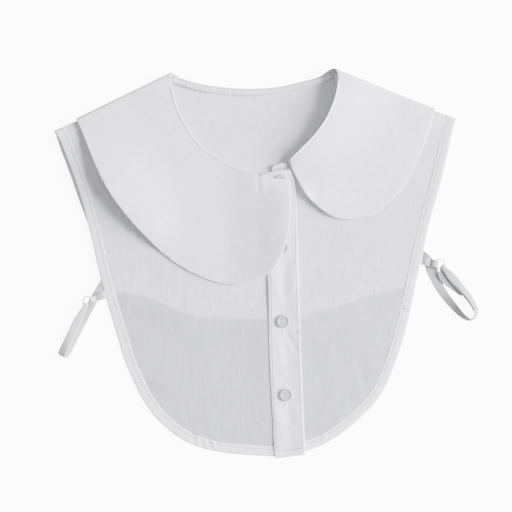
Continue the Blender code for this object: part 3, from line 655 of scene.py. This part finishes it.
body = {
    "hemLine": (  # the back panel's hem under the fronts, x and y in mm
        (-144, -25.5), (-133.6, -24.6), (-113.8, -27.3), (-95.8, -34), (-77.9, -42.6), (-59.9, -47.5),
        (-23.8, -49.3), (1.4, -48.9), (30.1, -47.1), (48.1, -41.2), (66.2, -37.6), (85.9, -30.9),
        (102.1, -25.9), (120.1, -21.9), (132.3, -21),
    ),
    "hemTurn": 9.0,  # width of the back hem's turned edge
    "layerShades": (0.88, 0.26, 0.30),  # what the back panel, its hem and the collar add to the tone
    "underCollar": 85.0,  # from this y up, the back of the collar adds a layer
    "neckEdge": (  # y, x of the right leaf's neck edge and how high the back stands there, in mm
        (82, 16, 0), (90, 20, 1.2), (95, 24, 1.6), (100, 28, 3.3), (110, 37.5, 4.6),
        (120, 46, 4.8), (130, 53, 4.6), (142, 58, 3.8), (150, 61.5, 2.4), (157, 63, 0),
    ),
    "neckReach": ((95, 28), (130, 44)),  # y and how far from the edge the rise begins there
    "neckFade": (4, 34),  # how far past the edge the rise ends
    "backLevel": (1.2, 1.9),  # only the back's lower layer rises, and no part of its turned shoulders
    "placketEdge": ((-175, 8.1), (-167.7, 7.2), (-86.7, 2.7), (-10.2, 0.9)),  # y, x of the placket's left edge
    "placketRise": 0.85,
    "riseReach": 24,
    "riseStretch": ((30, 60), (156, 167)),  # it grows and ends over these y, turned round
    "thickness": 0.00050,
    "roll": 0.0006,
    "foldsLeft": (  # from x, y to x, y, half width, height, all in mm
        (-57, -150, -47, -166, 2.4, -0.45), (-51, -150, -42, -165, 2.4, 0.25), (-75, -45, -70, -66, 5, 0.10),
        (-20, -60, -26, -120, 4, 0.07), (-34, -70, -40, -140, 4, -0.07), (-130, -10, -122, -40, 3, 0.12),
        (-143, 10, -133, -22, 2.2, 0.20), (-120, -70, -98, -120, 5, 0.10), (-10, -130, -14, -160, 4, 0.10),
        (-96, -60, -90, -125, 5, -0.08), (-62, -60, -58, -130, 5, 0.07),
    ),
    "foldsRight": (
        (77, -76, 92, -118, 3, -0.16), (88, -72, 100, -108, 4, 0.12), (45, -140, 60, -150, 5, 0.16),
        (56, -70, 62, -112, 4, 0.08), (40, -60, 43, -120, 4, -0.08), (36, 44, 43, 52, 3.5, 0.35),
        (104, -38, 118, -60, 3, 0.12), (118, -10, 124, -38, 2.6, 0.12), (60, -20, 100, -8, 6, 0.08),
    ),
}


def bodyLayers(x, y):
    line = np.array(body["hemLine"])
    above = y - np.interp(x, line[:, 0], line[:, 1])
    covered = step01(above, -2.2, 2.0)
    turned = step01(above, -1.5, 1.5) * (1 - step01(above, body["hemTurn"] - 2.0, body["hemTurn"] + 2.5))
    underCollar = step01(y, body["underCollar"] - 2, body["underCollar"] + 2)
    return sum(part * shade for part, shade in zip((covered, turned, underCollar), body["layerShades"]))


# the back rises softly towards the right side of the neck, under the leaf's edge
def backRise(x, y, z):
    edge = np.array(body["neckEdge"])
    past = x - np.interp(y, edge[:, 0], edge[:, 1])
    height = np.interp(y, edge[:, 0], edge[:, 2])
    reach = np.interp(y, *zip(*body["neckReach"]))
    rising = step01(past / reach, -1.0, 0.0) * (1 - step01(past, *body["neckFade"]))
    return height * rising * step01(z, *body["backLevel"])


# the left front rises to the placket's left edge
def leftRise(x, y, z):
    past = x - np.interp(y, *zip(*body["placketEdge"]))
    grows, ends = body["riseStretch"]
    near = step01(past, -body["riseReach"], 0)
    return body["placketRise"] * near * step01(-y, *grows) * (1 - step01(-y, *ends))


backPiece = clothPanel("backPanel", "back_panel", body, (), backCloth, rise=backRise)
frontLeft = clothPanel("frontLeft", "front_left", body, body["foldsLeft"], bodyCloth, bodyLayers, leftRise)
frontRight = clothPanel("frontRight", "front_right", body, body["foldsRight"], bodyCloth, bodyLayers)

# collar

collar = {
    "frontRise": 5.0,  # mm, over these stretches of x and y
    "frontGrows": (-14, 23),
    "frontEnds": ((58, 78), (24, 45)),
    "leftEdge": (  # x, y of the large leaf's left edge and how much it is lifted there, in mm
        (-170, 130, -2.4), (-162.6, 111.9, -3.4), (-156, 95, -1.6), (-148.3, 78.4, 1.8),
        (-139.3, 62.5, 3.4), (-128.8, 47.7, 4.3), (-117.1, 33.7, 4), (-104.5, 20.5, 2.4), (-91.4, 7.9, 0.6),
        (-70, -10, 0),
    ),
    "sideReach": 75,  # how far inwards the left side's lift ends
    "sideGrows": (30, 70),  # x, turned round
    "upperLevel": (2.5, 6),  # z from which the leaves move, and not the collar's lower parts
    "lifts": (  # x, y, radius and height
        (38, 60, 20, -1.4), (52, 130, 21, 6), (36, 108, 14, 4.3), (24, 100, 9, 3.2), (33, 80, 11, -1.2),
    ),
    "thickness": 0.00085,
    "roll": 0.0011,
    "folds": (
        (-7.6, 78.5, -6.6, 62, 1.6, -0.30), (-3.5, 76, -2, 58, 2, 0.18), (-66, 6, -56, -6, 4, 0.30),
        (-125, 52, -118, 44, 3, -0.20), (-110, 120, -60, 95, 9, 0.10), (-140, 110, -112, 60, 8, 0.12),
        (-95, 60, -50, 20, 9, -0.10), (90, 130, 120, 90, 9, 0.10), (60, 90, 100, 70, 9, -0.08),
        (-30, 40, -20, 0, 8, 0.12),
    ),
}


# the large leaf's front end stands up a little towards its free edge, its left side hangs lower at the
# shoulder and stands off below it
def leafRise(x, y, z):
    (lowY, highY), (lowX, highX) = collar["frontEnds"]
    lift = collar["frontRise"] * step01(x, *collar["frontGrows"]) * step01(-y, -highY, -lowY)
    lift = lift * step01(-x, -highX, -lowX)
    upper = step01(z, *collar["upperLevel"])
    edge = np.array(collar["leftEdge"])[::-1]
    inside = x - np.interp(y, edge[:, 1], edge[:, 0])
    stand = np.interp(y, edge[:, 1], edge[:, 2])
    fade = 1 - step01(inside, 0, collar["sideReach"])
    lift = lift + stand * fade * upper * step01(-x, *collar["sideGrows"])
    for cx, cy, radius, height in collar["lifts"]:
        lift = lift + height * np.exp(-((x - cx) ** 2 + (y - cy) ** 2) / (2 * radius**2)) * upper
    return lift


collarPiece = clothPanel("collarLeaves", "collar", collar, collar["folds"], leafCloth, rise=leafRise)

# placket

placket = {
    "leftEdge": ((-6, 79.8), (0.9, -10.2), (2.7, -86.7), (7.2, -167.7), (8.1, -175)),
    "rightEdge": ((20.3, 84.6), (22.9, 79.8), (26.1, 66.3), (28.4, 3.3), (31, -77.7), (34.7, -171.7)),
    "edgeLift": (0.06, 1.6),  # height at the left edge and how far inwards it ends, in mm
    "leftLift": (0.05, (0.2, 1.8), (3, 14)),  # height, where it grows and where it ends, from the left edge
    "rightLift": (1.40, (13, 27)),
    "topFlat": (-70, -40),  # no lift above these y, turned round
    "thickness": 0.0008,
    "roll": 0.0009,
    "folds": (
        (5, 2, 12, -38, 3.2, 0.44), (17, 5, 15, -33, 2.6, -0.50), (26, 5, 23, -33, 2.4, 0.40),
        (17, -61, 28, -80, 2.6, -0.52), (11, -64, 15, -105, 3, 0.46), (23, -78, 25, -105, 2.6, -0.20),
        (10, -127, 15, -159, 3, 0.42), (18, -130, 23, -146, 2.4, -0.48), (27, -120, 30, -150, 2.4, 0.20),
        (24, 60, 26, 30, 1.8, 0.25),
    ),
}


# the strip's left edge lies close on the front, its right side stands up
def placketRise(x, y, z):
    edge = np.array(placket["leftEdge"][::-1])
    inside = x - np.interp(y, edge[:, 1], edge[:, 0])
    height, reach = placket["edgeLift"]
    lift = height * (1 - step01(inside, 0, reach))
    height, grows, ends = placket["leftLift"]
    lift = lift + height * step01(inside, *grows) * (1 - step01(inside, *ends))
    height, grows = placket["rightLift"]
    lift = lift + height * step01(inside, *grows)
    return lift * step01(-y, *placket["topFlat"])


placketPiece = clothPanel("placketStrip", "placket", placket, placket["folds"], placketCloth, rise=placketRise)
print("panels made")

# bias bands

band = {
    "step": 0.0011,
    "pucker": 0.13,
    "pinches": (  # x, y, radius and height of small wrinkles, in mm
        (-60, -156, 9, 0.24), (-48, -163, 8, 0.26), (126, -41, 6, 0.34), (53, -158, 6, 0.24),
        (-95, -125, 8, 0.16), (98, -112, 8, 0.18), (-152, 26, 8, 0.14), (150, 66, 8, 0.16),
    ),
    "pinchPitch": 8.3,
    "row": (0.79, 0.00042),  # the stitches' share of the way across and height in metres
    "stitches": (0.0027, 0.0014, 0.00062),
}
bandSection = (  # past 1 across, its inner edge reaches over the panel
    (0, 0), (0.02, 0.30), (0.07, 0.50), (0.16, 0.60), (0.32, 0.62), (0.50, 0.58), (0.66, 0.54), (0.77, 0.47),
    (0.83, 0.40), (0.90, 0.46), (1, 0.58), (1.07, 0.56), (1.11, 0.42), (1.13, 0.15), (1.11, -0.15), (1, -0.42),
    (0.8, -0.50), (0.5, -0.52), (0.2, -0.52), (0.07, -0.45), (0.02, -0.25),
)


def bandWobble(seed):
    def height(run, share, point):
        slow = 0.5 * math.sin(run / 5.1 + seed) + 0.3 * math.sin(run / 2.7 + seed * 2.3)
        slow += 0.2 * math.sin(run / 1.6 + seed)
        lift = band["pucker"] * slow * (0.4 + 0.6 * share)
        for px, py, radius, high in band["pinches"]:
            near = math.exp(-(math.hypot(point[0] / mm - px, point[1] / mm - py) / radius) ** 2)
            lift += high * near * math.sin(2 * math.pi * (run + 5.0 * share) / band["pinchPitch"])
        return lift

    return height


# a band and its stitches
def makeBand(name, node, seed, start):
    left, right = twoEdges(node, band["step"], start)
    if runOf(right)[-1] > runOf(left)[-1]:  # the outer edge of a band is the longer one
        left, right = right, left
    normals = stripNormals(left, right)
    piece = sweptStrip(name, left, right, normals, bandSection, bandCloth, bandWobble(seed))
    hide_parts(node)
    across, height = band["row"]
    row = left + (right - left) * across + normals * height
    return piece, stitchRows(name + "Stitches", [row], band["stitches"])


bandLeft = makeBand("bandLeft", "band_left", 0.7, (-0.144, -0.025, 0.0))
bandRight = makeBand("bandRight", "band_right", 2.9, (0.133, -0.021, 0.0))

# neck bindings

binding = {
    "neckEnds": (  # the back's binding runs on under the leaves: x, y, z of its upper and its lower edge, in mm
        (
            (58.8, 170.3, 4.3, 60.8, 167, 3.4), (56.3, 171, 4.2, 58.6, 165.6, 3.35),
            (53.6, 170.6, 3.6, 55.9, 164.2, 3.35), (51, 169.2, 3.35, 52.9, 162.9, 3.35),
        ),
        ((-80.6, 167.8, 3.4, -82.5, 161.8, 3.4), (-83, 168.7, 3.8, -85, 162.8, 3.8)),
    ),
    "pucker": (0.09, 0.55),  # height and run of the small waves, in mm
    "rows": (0.16, 0.84),
    "rowHeight": 0.00052,
    "stitches": (0.0024, 0.0012, 0.00050),
}
bindingSection = (
    (0, 0), (0.03, 0.30), (0.10, 0.46), (0.22, 0.50), (0.40, 0.44), (0.50, 0.50), (0.62, 0.42), (0.80, 0.50),
    (0.92, 0.44), (1, 0.18), (1, -0.15), (0.85, -0.45), (0.5, -0.5), (0.15, -0.45), (0.03, -0.25),
)


def bindingWobble(run, share, point):
    height, pace = binding["pucker"]
    return height * math.sin(run / pace) * (0.3 + 0.7 * math.sin(math.pi * share))


def makeBinding(name, node, step, finish, ends=None):
    left, right = twoEdges(node, step)
    if ends:
        middle = np.hstack([left, right])[3:-3:6]
        both = np.vstack([np.array(ends[0]) * mm, middle, np.array(ends[1]) * mm])
        both = curveThrough(both, step * math.sqrt(2))
        left, right = both[:, :3], both[:, 3:]
    normals = stripNormals(left, right)
    piece = sweptStrip(name, left, right, normals, bindingSection, finish, bindingWobble)
    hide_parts(node)
    rows = [left + (right - left) * share + normals * binding["rowHeight"] for share in binding["rows"]]
    return piece, stitchRows(name + "Stitches", rows, binding["stitches"])


neckBinding = makeBinding("neckBinding", "binding_neck", 0.0007, bandCloth, binding["neckEnds"])
placketBinding = makeBinding("placketBinding", "binding_placket", 0.0006, warmCloth)
standBinding = makeBinding("standBinding", "binding_stand", 0.0006, warmCloth)
print("bands made")

# elastic loops and tabs

elastic = {
    "step": 0.0005,
    "moves": {  # how far edges are moved along an axis: share of the way along, mm
        "strap_left": {
            "leftZ": ((0.53, 0), (0.56, 0.1), (0.65, 0.1), (0.70, 0)),
            "rightZ": (
                (0, 2), (0.10, 1.8), (0.25, 1.6), (0.40, 0), (0.53, 0), (0.56, 2.6), (0.585, 4.2), (0.615, 3.8),
                (0.65, 2.3), (0.70, 0.9), (0.76, 0),
            ),
        },
        "strap_right": {
            "leftX": (
                (0.04, 0), (0.09, 1.5), (0.15, 1.3), (0.26, 0), (0.80, 0), (0.82, -0.7), (0.84, -2.4), (0.88, -1.4),
                (0.91, -0.6), (0.94, 0),
            ),
            "leftY": ((0.82, 0), (0.84, -0.8), (0.88, -0.6), (0.91, -0.3), (0.94, 0)),
            "leftZ": ((0.80, 0), (0.82, 0.7), (0.84, 1.7), (0.88, 1.9), (0.91, 1.4), (0.94, 0.6), (0.97, 0)),
            "rightZ": ((0.80, 0), (0.82, 0.9), (0.84, 1.9), (0.88, 2.3), (0.91, 1.8), (0.94, 0.9), (0.97, 0)),
        },
        "tab_left": {
            "bothZ": ((0, 1.1), (0.08, 0.6), (0.20, -0.8), (0.28, -1.9), (0.36, -1.1), (0.42, -0.1), (0.50, 0)),
        },
        "tab_right": {
            "leftY": (
                (0.12, 0), (0.20, -0.4), (0.26, -0.8), (0.30, -1.2), (0.36, -1.6), (0.50, -1.7), (0.60, -1.6),
                (0.80, 0),
            ),
            "rightY": (
                (0.12, 0), (0.20, 0.1), (0.26, 0.2), (0.30, 0.4), (0.36, 0.8), (0.50, 0.9), (0.60, 0.8), (0.80, 0),
            ),
            "bothZ": ((0, 0), (0.12, 0.2), (0.20, -0.7), (0.26, -1.6), (0.30, -0.5), (0.36, -0.1), (0.50, 0)),
        },
    },
    "curl": {"strap_right": (0.480, 0.720, 2.1, 0.27)},  # from, to, drop of the first edge in mm and its share
    "gather": {"strap_right": (0.065, 2.6, 4.1)},  # to, height and pitch in mm
    "ribHeight": 0.07,
}
elasticSection = (
    (0, 0), (0.02, 0.22), (0.07, 0.40), (0.14, 0.30), (0.22, 0.42), (0.36, 0.40), (0.50, 0.43), (0.64, 0.40),
    (0.78, 0.42), (0.86, 0.30), (0.93, 0.40), (0.98, 0.22), (1, 0), (0.98, -0.22), (0.93, -0.40), (0.78, -0.42),
    (0.5, -0.43), (0.22, -0.42), (0.07, -0.40), (0.02, -0.22),
)


def ribWobble(run, share, point):
    return elastic["ribHeight"] * math.sin(2 * math.pi * run * mm / elasticLook["ribPitch"])


def makeElastic(name, node, start, finish):
    left, right = loopEdges(node, elastic["step"], start)
    normals = stripNormals(left, right, 0)
    shares = np.linspace(0, 1, len(left))
    for column, rows in elastic["moves"][node].items():
        side, axis = column[:-1], "XYZ".index(column[-1])
        for edge, named in ((left, "left"), (right, "right")):
            if side in (named, "both"):
                edge[:, axis] += np.interp(shares, *zip(*rows)) * mm

    # a curled edge and a gathered start
    def bend(along, run, share):
        lift = 0.0
        if node in elastic["curl"]:
            first, last, drop, reach = elastic["curl"][node]
            ends = step01(along, first, first + 0.02) * (1 - step01(along, last - 0.14, last))
            lift -= drop * ends * (1 - step01(share, 0.0, reach))
        if node in elastic["gather"]:
            last, height, pitch = elastic["gather"][node]
            wave = 0.5 + 0.4 * math.sin(2 * math.pi * (run / pitch + 0.9 * share))
            wave += 0.2 * math.sin(2 * math.pi * (run / pitch * 1.6 - 1.7 * share))
            lift += height * wave * (1 - step01(along, last * 0.6, last)) * (1 - 0.7 * share)
        return lift

    piece = sweptStrip(name, left, right, normals, elasticSection, finish, ribWobble, bend)
    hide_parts(node)


makeElastic("loopLeft", "strap_left", (-0.1466, -0.0183, 0.0), elasticLeft)
# the right loop and tab take the darker elastic, which is painted shade
makeElastic("loopRight", "strap_right", (0.1395, 0.0085, 0.0), elasticRightShaded)
makeElastic("tabLeft", "tab_left", (-0.1454, -0.0282, 0.004), elasticLeft)
makeElastic("tabRight", "tab_right", (0.1396, 0.0024, 0.004), elasticRightShaded)

# rings

ring = {"radius": 0.0043, "wire": 0.00062, "sides": 64, "round": 16}


def makeRing(name, node, turn):
    centre = centreOf(node)
    points, faces = [], []
    for i in range(ring["sides"]):
        around = 2 * math.pi * i / ring["sides"]
        wire = ring["wire"] * (1 + 0.06 * math.cos(2 * (around - turn)))
        for k in range(ring["round"]):
            across = 2 * math.pi * k / ring["round"]
            reach = ring["radius"] * (1 + 0.015 * math.cos(2 * (around + turn))) + wire * math.cos(across)
            points.append((
                centre[0] + reach * math.cos(around),
                centre[1] + reach * math.sin(around),
                centre[2] + wire * math.sin(across),
            ))
            a, b = (i * ring["round"] + side % ring["round"] for side in (k, k + 1))
            size = ring["sides"] * ring["round"]
            faces.append((a, (a + ring["round"]) % size, (b + ring["round"]) % size, b))
    piece = newPiece(name, points, faces, clearResin)
    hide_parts(node)


makeRing("ringLeft", "ring_left", 0.4)
makeRing("ringRight", "ring_right", 1.7)
print("elastic and rings made")

# buttons

button = {
    "profile": (  # radius and height above the seat in mm
        (0, 1.15), (1.2, 1.15), (2.2, 1.18), (3.1, 1.14), (3.6, 0.98), (4, 1.20), (4.4, 1.52), (4.8, 1.60),
        (5.3, 1.50), (5.7, 1.26), (6, 0.9), (6.05, 0.6),
    ),
    "rows": (6.05, 6, 5.7, 5.3, 4.8, 4.4, 4, 3.6, 3.1, 2.5),  # radii of its rings of points in mm
    "holeRadius": 0.00062,
    "holeOffset": 0.00128,
    "holeRim": 1.25,  # where a hole's rounding starts, in its radii
    "holeDrop": 0.00016,
    "holeSides": 20,
    "sides": 56,
    "taper": 0.97,  # the underside against the top
    "thread": 0.00034,
    "threadHeight": 0.00108,
    "threadStep": 0.00006,  # the strands climb over each other
}


def makeButton(name, node, turn):
    (cx, cy, _), seat = centreOf(node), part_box(node)[0][2]
    rows = np.array(button["profile"])

    def circle(x, y, radius, sides):
        return [
            Vector((x + radius * math.cos(2 * math.pi * i / sides), y + radius * math.sin(2 * math.pi * i / sides)))
            for i in range(sides)
        ]

    flat, edges = [], []
    for radius in button["rows"]:
        first = len(flat)
        flat += circle(0, 0, radius * mm, button["sides"])
        edges += [(first + i, first + (i + 1) % button["sides"]) for i in range(button["sides"])]
    holes = []
    for sx, sy in ((-1, -1), (-1, 1), (1, -1), (1, 1)):
        hx = button["holeOffset"] * (sx * math.cos(turn) - sy * math.sin(turn))
        hy = button["holeOffset"] * (sx * math.sin(turn) + sy * math.cos(turn))
        holes.append((hx, hy))
        for radius in (button["holeRadius"] * button["holeRim"], button["holeRadius"]):
            first, sides = len(flat), button["holeSides"]
            flat += circle(hx, hy, radius, sides)
            edges += [(first + i, first + (i + 1) % sides) for i in range(sides)]
    flat, _, faces, _, _, _ = delaunay_2d_cdt(flat, edges, [], 0, 1e-7)
    kept = []
    for face in faces:
        middle = sum((flat[i] for i in face), Vector((0, 0))) / 3
        if all((middle - Vector(h)).length > button["holeRadius"] * 0.97 for h in holes):
            kept.append(tuple(face))
    points = []
    for p in flat:
        height = np.interp(p.length / mm, rows[:, 0], rows[:, 1]) * mm
        nearest = min((p - Vector(h)).length for h in holes)
        if nearest < button["holeRadius"] * 1.1:
            height -= button["holeDrop"]
        points.append((cx + p.x, cy + p.y, seat + height))
    count = len(points)
    points += [(cx + p.x * button["taper"], cy + p.y * button["taper"], seat) for p in flat]
    closed = kept + [(a + count, c + count, b + count) for a, b, c in kept]
    closed += [(a, a + count, b + count, b) for a, b in rimEdges(kept)]
    piece = newPiece(name, points, closed, resinFinish)
    piece.data.set_sharp_from_angle(angle=math.radians(50))
    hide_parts(node)

    # thread through the holes, three strands a side
    points, faces = [], []
    top = seat + button["threadHeight"]
    for a, b in ((0, 1), (2, 3)):
        start, end = np.array(holes[a]), np.array(holes[b])
        side = (end - start)[::-1] * (1, -1)
        side = side / np.linalg.norm(side)
        for k in (-1, 0, 1):
            shift = side * k * button["thread"] * 0.7
            threadRun(
                (cx + start[0] + shift[0], cy + start[1] + shift[1], top),
                (cx + end[0] + shift[0], cy + end[1] + shift[1], top + button["threadStep"] * k),
                button["thread"], points, faces,
            )
    return newPiece(name + "Thread", points, faces, buttonThread)


for number, turn in ((1, 0.1), (2, -0.15), (3, 0.05), (4, -0.08)):
    makeButton(f"shirtButton{number}", f"button_{number}", turn)
print("buttons made")

# stitching and seams laid on the cloth

sewing = {
    "inset": (2.8, 2),  # from the placket's left and right edge to its stitches
    "hemInset": 3.25,
    "stitches": (0.0026, 0.0014, 0.00070),
    "clearance": 0.00010,  # how far the stitches' middle lies above the cloth
    "neckLeft": (
        (-84.6, 158), (-81.4, 143.7), (-75.1, 129.3), (-68.8, 118.5), (-59.9, 106.8), (-50.8, 99.6),
        (-32.8, 88.4), (-9, 80.2),
    ),
    "neckRight": (
        (63.2, 161), (62.5, 156), (60.3, 147.3), (52.6, 129.3), (40.1, 112.2), (30.1, 102.3), (21, 93.6),
    ),
    "shoulderLeft": ((-179.6, 117.6, -150, 131.2), (-178.6, 115.2, -149, 128.6)),
    "shoulderRight": ((160.9, 127.2, 141, 133.1), (160.2, 124.6, 141, 120.2)),
    "seamLevel": 4.30,
    "holeHalf": 0.0096,  # a buttonhole, its close stitches and the bars at its ends, in metres
    "holeStep": 0.0004,
    "holeReach": (0.0002, 0.0012),
    "holeThread": 0.00036,
    "barHalf": 0.0014,
    "barStep": 0.0003,
    "barThread": 0.00042,
}


def offsetLine(line, distance):
    line = np.array(line, float)
    heading = np.gradient(line, axis=0)
    heading /= np.linalg.norm(heading, axis=1)[:, None]
    return line + np.stack([-heading[:, 1], heading[:, 0]], axis=1) * distance


def laidLine(line, drop, clearance=0.0):
    laid = []
    for x, y in line:
        spot = drop(x, y)
        if spot:
            laid.append(np.array(spot[0]) + np.array(spot[1]) * clearance)
    return np.array(laid)


onPlacket = topOf([placketPiece])
leftRow = offsetLine(curveThrough(np.array(placket["leftEdge"]) * mm, 0.003), sewing["inset"][0] * mm)
rightRow = offsetLine(curveThrough(np.array(placket["rightEdge"]) * mm, 0.003), -sewing["inset"][1] * mm)
corner, reach = leftRow[-2] + (0, sewing["hemInset"] * mm), rightRow[-2] - leftRow[-2]
hemRow = [corner + reach * t for t in np.linspace(0, 1, 9)]
rows = [laidLine(row, onPlacket, sewing["clearance"]) for row in (leftRow[1:-2], rightRow[2:-2], hemRow)]
placketStitches = stitchRows("placketStitches", rows, sewing["stitches"])

# buttonholes: two columns of close stitches and a bar at each end
points, faces = [], []
for number in (1, 2, 3, 4):
    cx, cy, _ = centreOf(f"button_{number}")
    half, step, (near, far) = sewing["holeHalf"], sewing["holeStep"], sewing["holeReach"]
    threadEnds = []  # from x, to x, y and thickness
    for side in (-1, 1):
        for k in range(int(2 * half / step)):
            threadEnds.append((side * near, side * far, k * step - half, sewing["holeThread"]))
    for end in (-1, 1):
        for k in range(4):
            y = end * (half + k * sewing["barStep"])
            threadEnds.append((-sewing["barHalf"], sewing["barHalf"], y, sewing["barThread"]))
    for x0, x1, y, thickness in threadEnds:
        a, b = onPlacket(cx + x0, cy + y), onPlacket(cx + x1, cy + y)
        if a and b:
            threadRun(tuple(a[0]), tuple(b[0]), thickness, points, faces)
buttonHoles = newPiece("buttonHoles", points, faces, buttonThread)


# the collar's neck edge: two fine ridges with the seam between them
neckSection = (
    (0, -0.25), (0, 0.20), (0.08, 0.48), (0.20, 0.56), (0.31, 0.44), (0.37, 0.06), (0.44, -0.06), (0.56, 0),
    (0.80, 0.02), (0.92, -0.02), (1, -0.20), (0.5, -0.35),
)
seamSection = (
    (0, -0.25), (0, 0.10), (0.10, 0.34), (0.26, 0.38), (0.38, 0.22), (0.46, 0.02), (0.54, 0.05), (0.64, 0.24),
    (0.78, 0.26), (0.92, 0.10), (1, -0.20), (0.5, -0.35),
)
pipingSection = (
    (0, -0.20), (0, 0.45), (0.07, 0.74), (0.20, 0.78), (0.55, 0.42), (0.90, 0.06), (1, -0.20), (0.5, -0.30),
)
onCollar = topOf([collarPiece])


# the seams use the whiter piping cloth, a painted highlight along their ridges
def makeNeckSeam(name, line, inward, near, far, section):
    line = curveThrough(np.array(line) * mm, 0.001)
    outer = laidLine(offsetLine(line, near * mm * inward), onCollar)
    inner = laidLine(offsetLine(line, far * mm * inward), onCollar)
    count = min(len(outer), len(inner))
    outer, inner = outer[:count], inner[:count]
    outer[:, 2] = (outer[:, 2] + inner[:, 2]) / 2
    inner[:, 2] = outer[:, 2]
    return sweptStrip(name, outer, inner, stripNormals(outer, inner), section, pipingHighlightCloth)


neckSeamLeft = makeNeckSeam("neckSeamLeft", sewing["neckLeft"], -1, 0.3, 2.4, neckSection)
neckSeamRight = makeNeckSeam("neckSeamRight", sewing["neckRight"], 1, 0.1, 1.6, pipingSection)

# the shoulder seams: narrow ridges of turned cloth from the armhole to under the leaf
def makeShoulderSeam(name, upper, lower):
    edges = []
    for x0, y0, x1, y1 in (upper, lower):
        line = evenly(np.array([(x0, y0), (x1, y1)]) * mm, 0.0012)
        edges.append(np.array([(x, y, sewing["seamLevel"] * mm) for x, y in line]))
    count = min(len(edges[0]), len(edges[1]))
    upperRow, lowerRow = edges[0][:count], edges[1][:count]
    return sweptStrip(name, upperRow, lowerRow, stripNormals(upperRow, lowerRow), seamSection, bandCloth)


shoulderSeamLeft = makeShoulderSeam("shoulderSeamLeft", *sewing["shoulderLeft"])
shoulderSeamRight = makeShoulderSeam("shoulderSeamRight", *sewing["shoulderRight"])
print("sewing done")
# floor, light and camera

studio = {
    "floor": (0.93, 0.93, 0.93),
    "floorGlow": 9.0,
    "floorSize": 3.0,
    "sky": 0.50,
    "skyColour": (1, 0.985, 0.96),
    "key": 655.0,
    "keyColour": (0.905, 0.89, 1),
    "keyFrom": (2.70, 0.24, 1.28),
    "keySize": 1.80,
    "fill": 5.0,
    "fillFrom": (-0.2, 0.1, 1.3),
    "fillSize": 1.0,
    "camera": (-0.00945, 0.00693, 1.28),
    "lens": 100,
}

bm = bmesh.new()
bmesh.ops.create_grid(bm, x_segments=4, y_segments=4, size=studio["floorSize"])
floorMesh = bpy.data.meshes.new("floor")
bm.to_mesh(floorMesh)
bm.free()
floor = newObject("floor", floorMesh)
floor.location.z = -0.0001
floor.visible_diffuse = False  # the white floor doesn't light the edges of the cloth
paper, tree, shader = nodesOf("paper")
feed(tree, shader, {
    "Base Color": (*studio["floor"], 1.0),
    "Roughness": 0.9,
    "Emission Color": (1.0, 1.0, 1.0, 1.0),
    "Emission Strength": studio["floorGlow"],
})
floorMesh.materials.append(paper)

world = bpy.data.worlds.new("studio")
bpy.context.scene.world = world
world.use_nodes = True
sky = {"Color": (*studio["skyColour"], 1.0), "Strength": studio["sky"]}
feed(world.node_tree, world.node_tree.nodes["Background"], sky)


def softbox(name, place, size, power, colour):
    lamp = bpy.data.lights.new(name, "AREA")
    lamp.shape = "SQUARE"
    lamp.size = size
    lamp.energy = power
    lamp.color = colour
    holder = newObject(name, lamp)
    holder.location = place
    holder.rotation_euler = (-Vector(place)).to_track_quat("-Z", "Y").to_euler()


softbox("keyLight", studio["keyFrom"], studio["keySize"], studio["key"], studio["keyColour"])
softbox("fillLight", studio["fillFrom"], studio["fillSize"], studio["fill"], studio["keyColour"])

lens = bpy.data.cameras.new("camera")
lens.lens = studio["lens"]
lens.sensor_width = 36
camera = newObject("camera", lens)
camera.location = studio["camera"]
bpy.context.scene.camera = camera
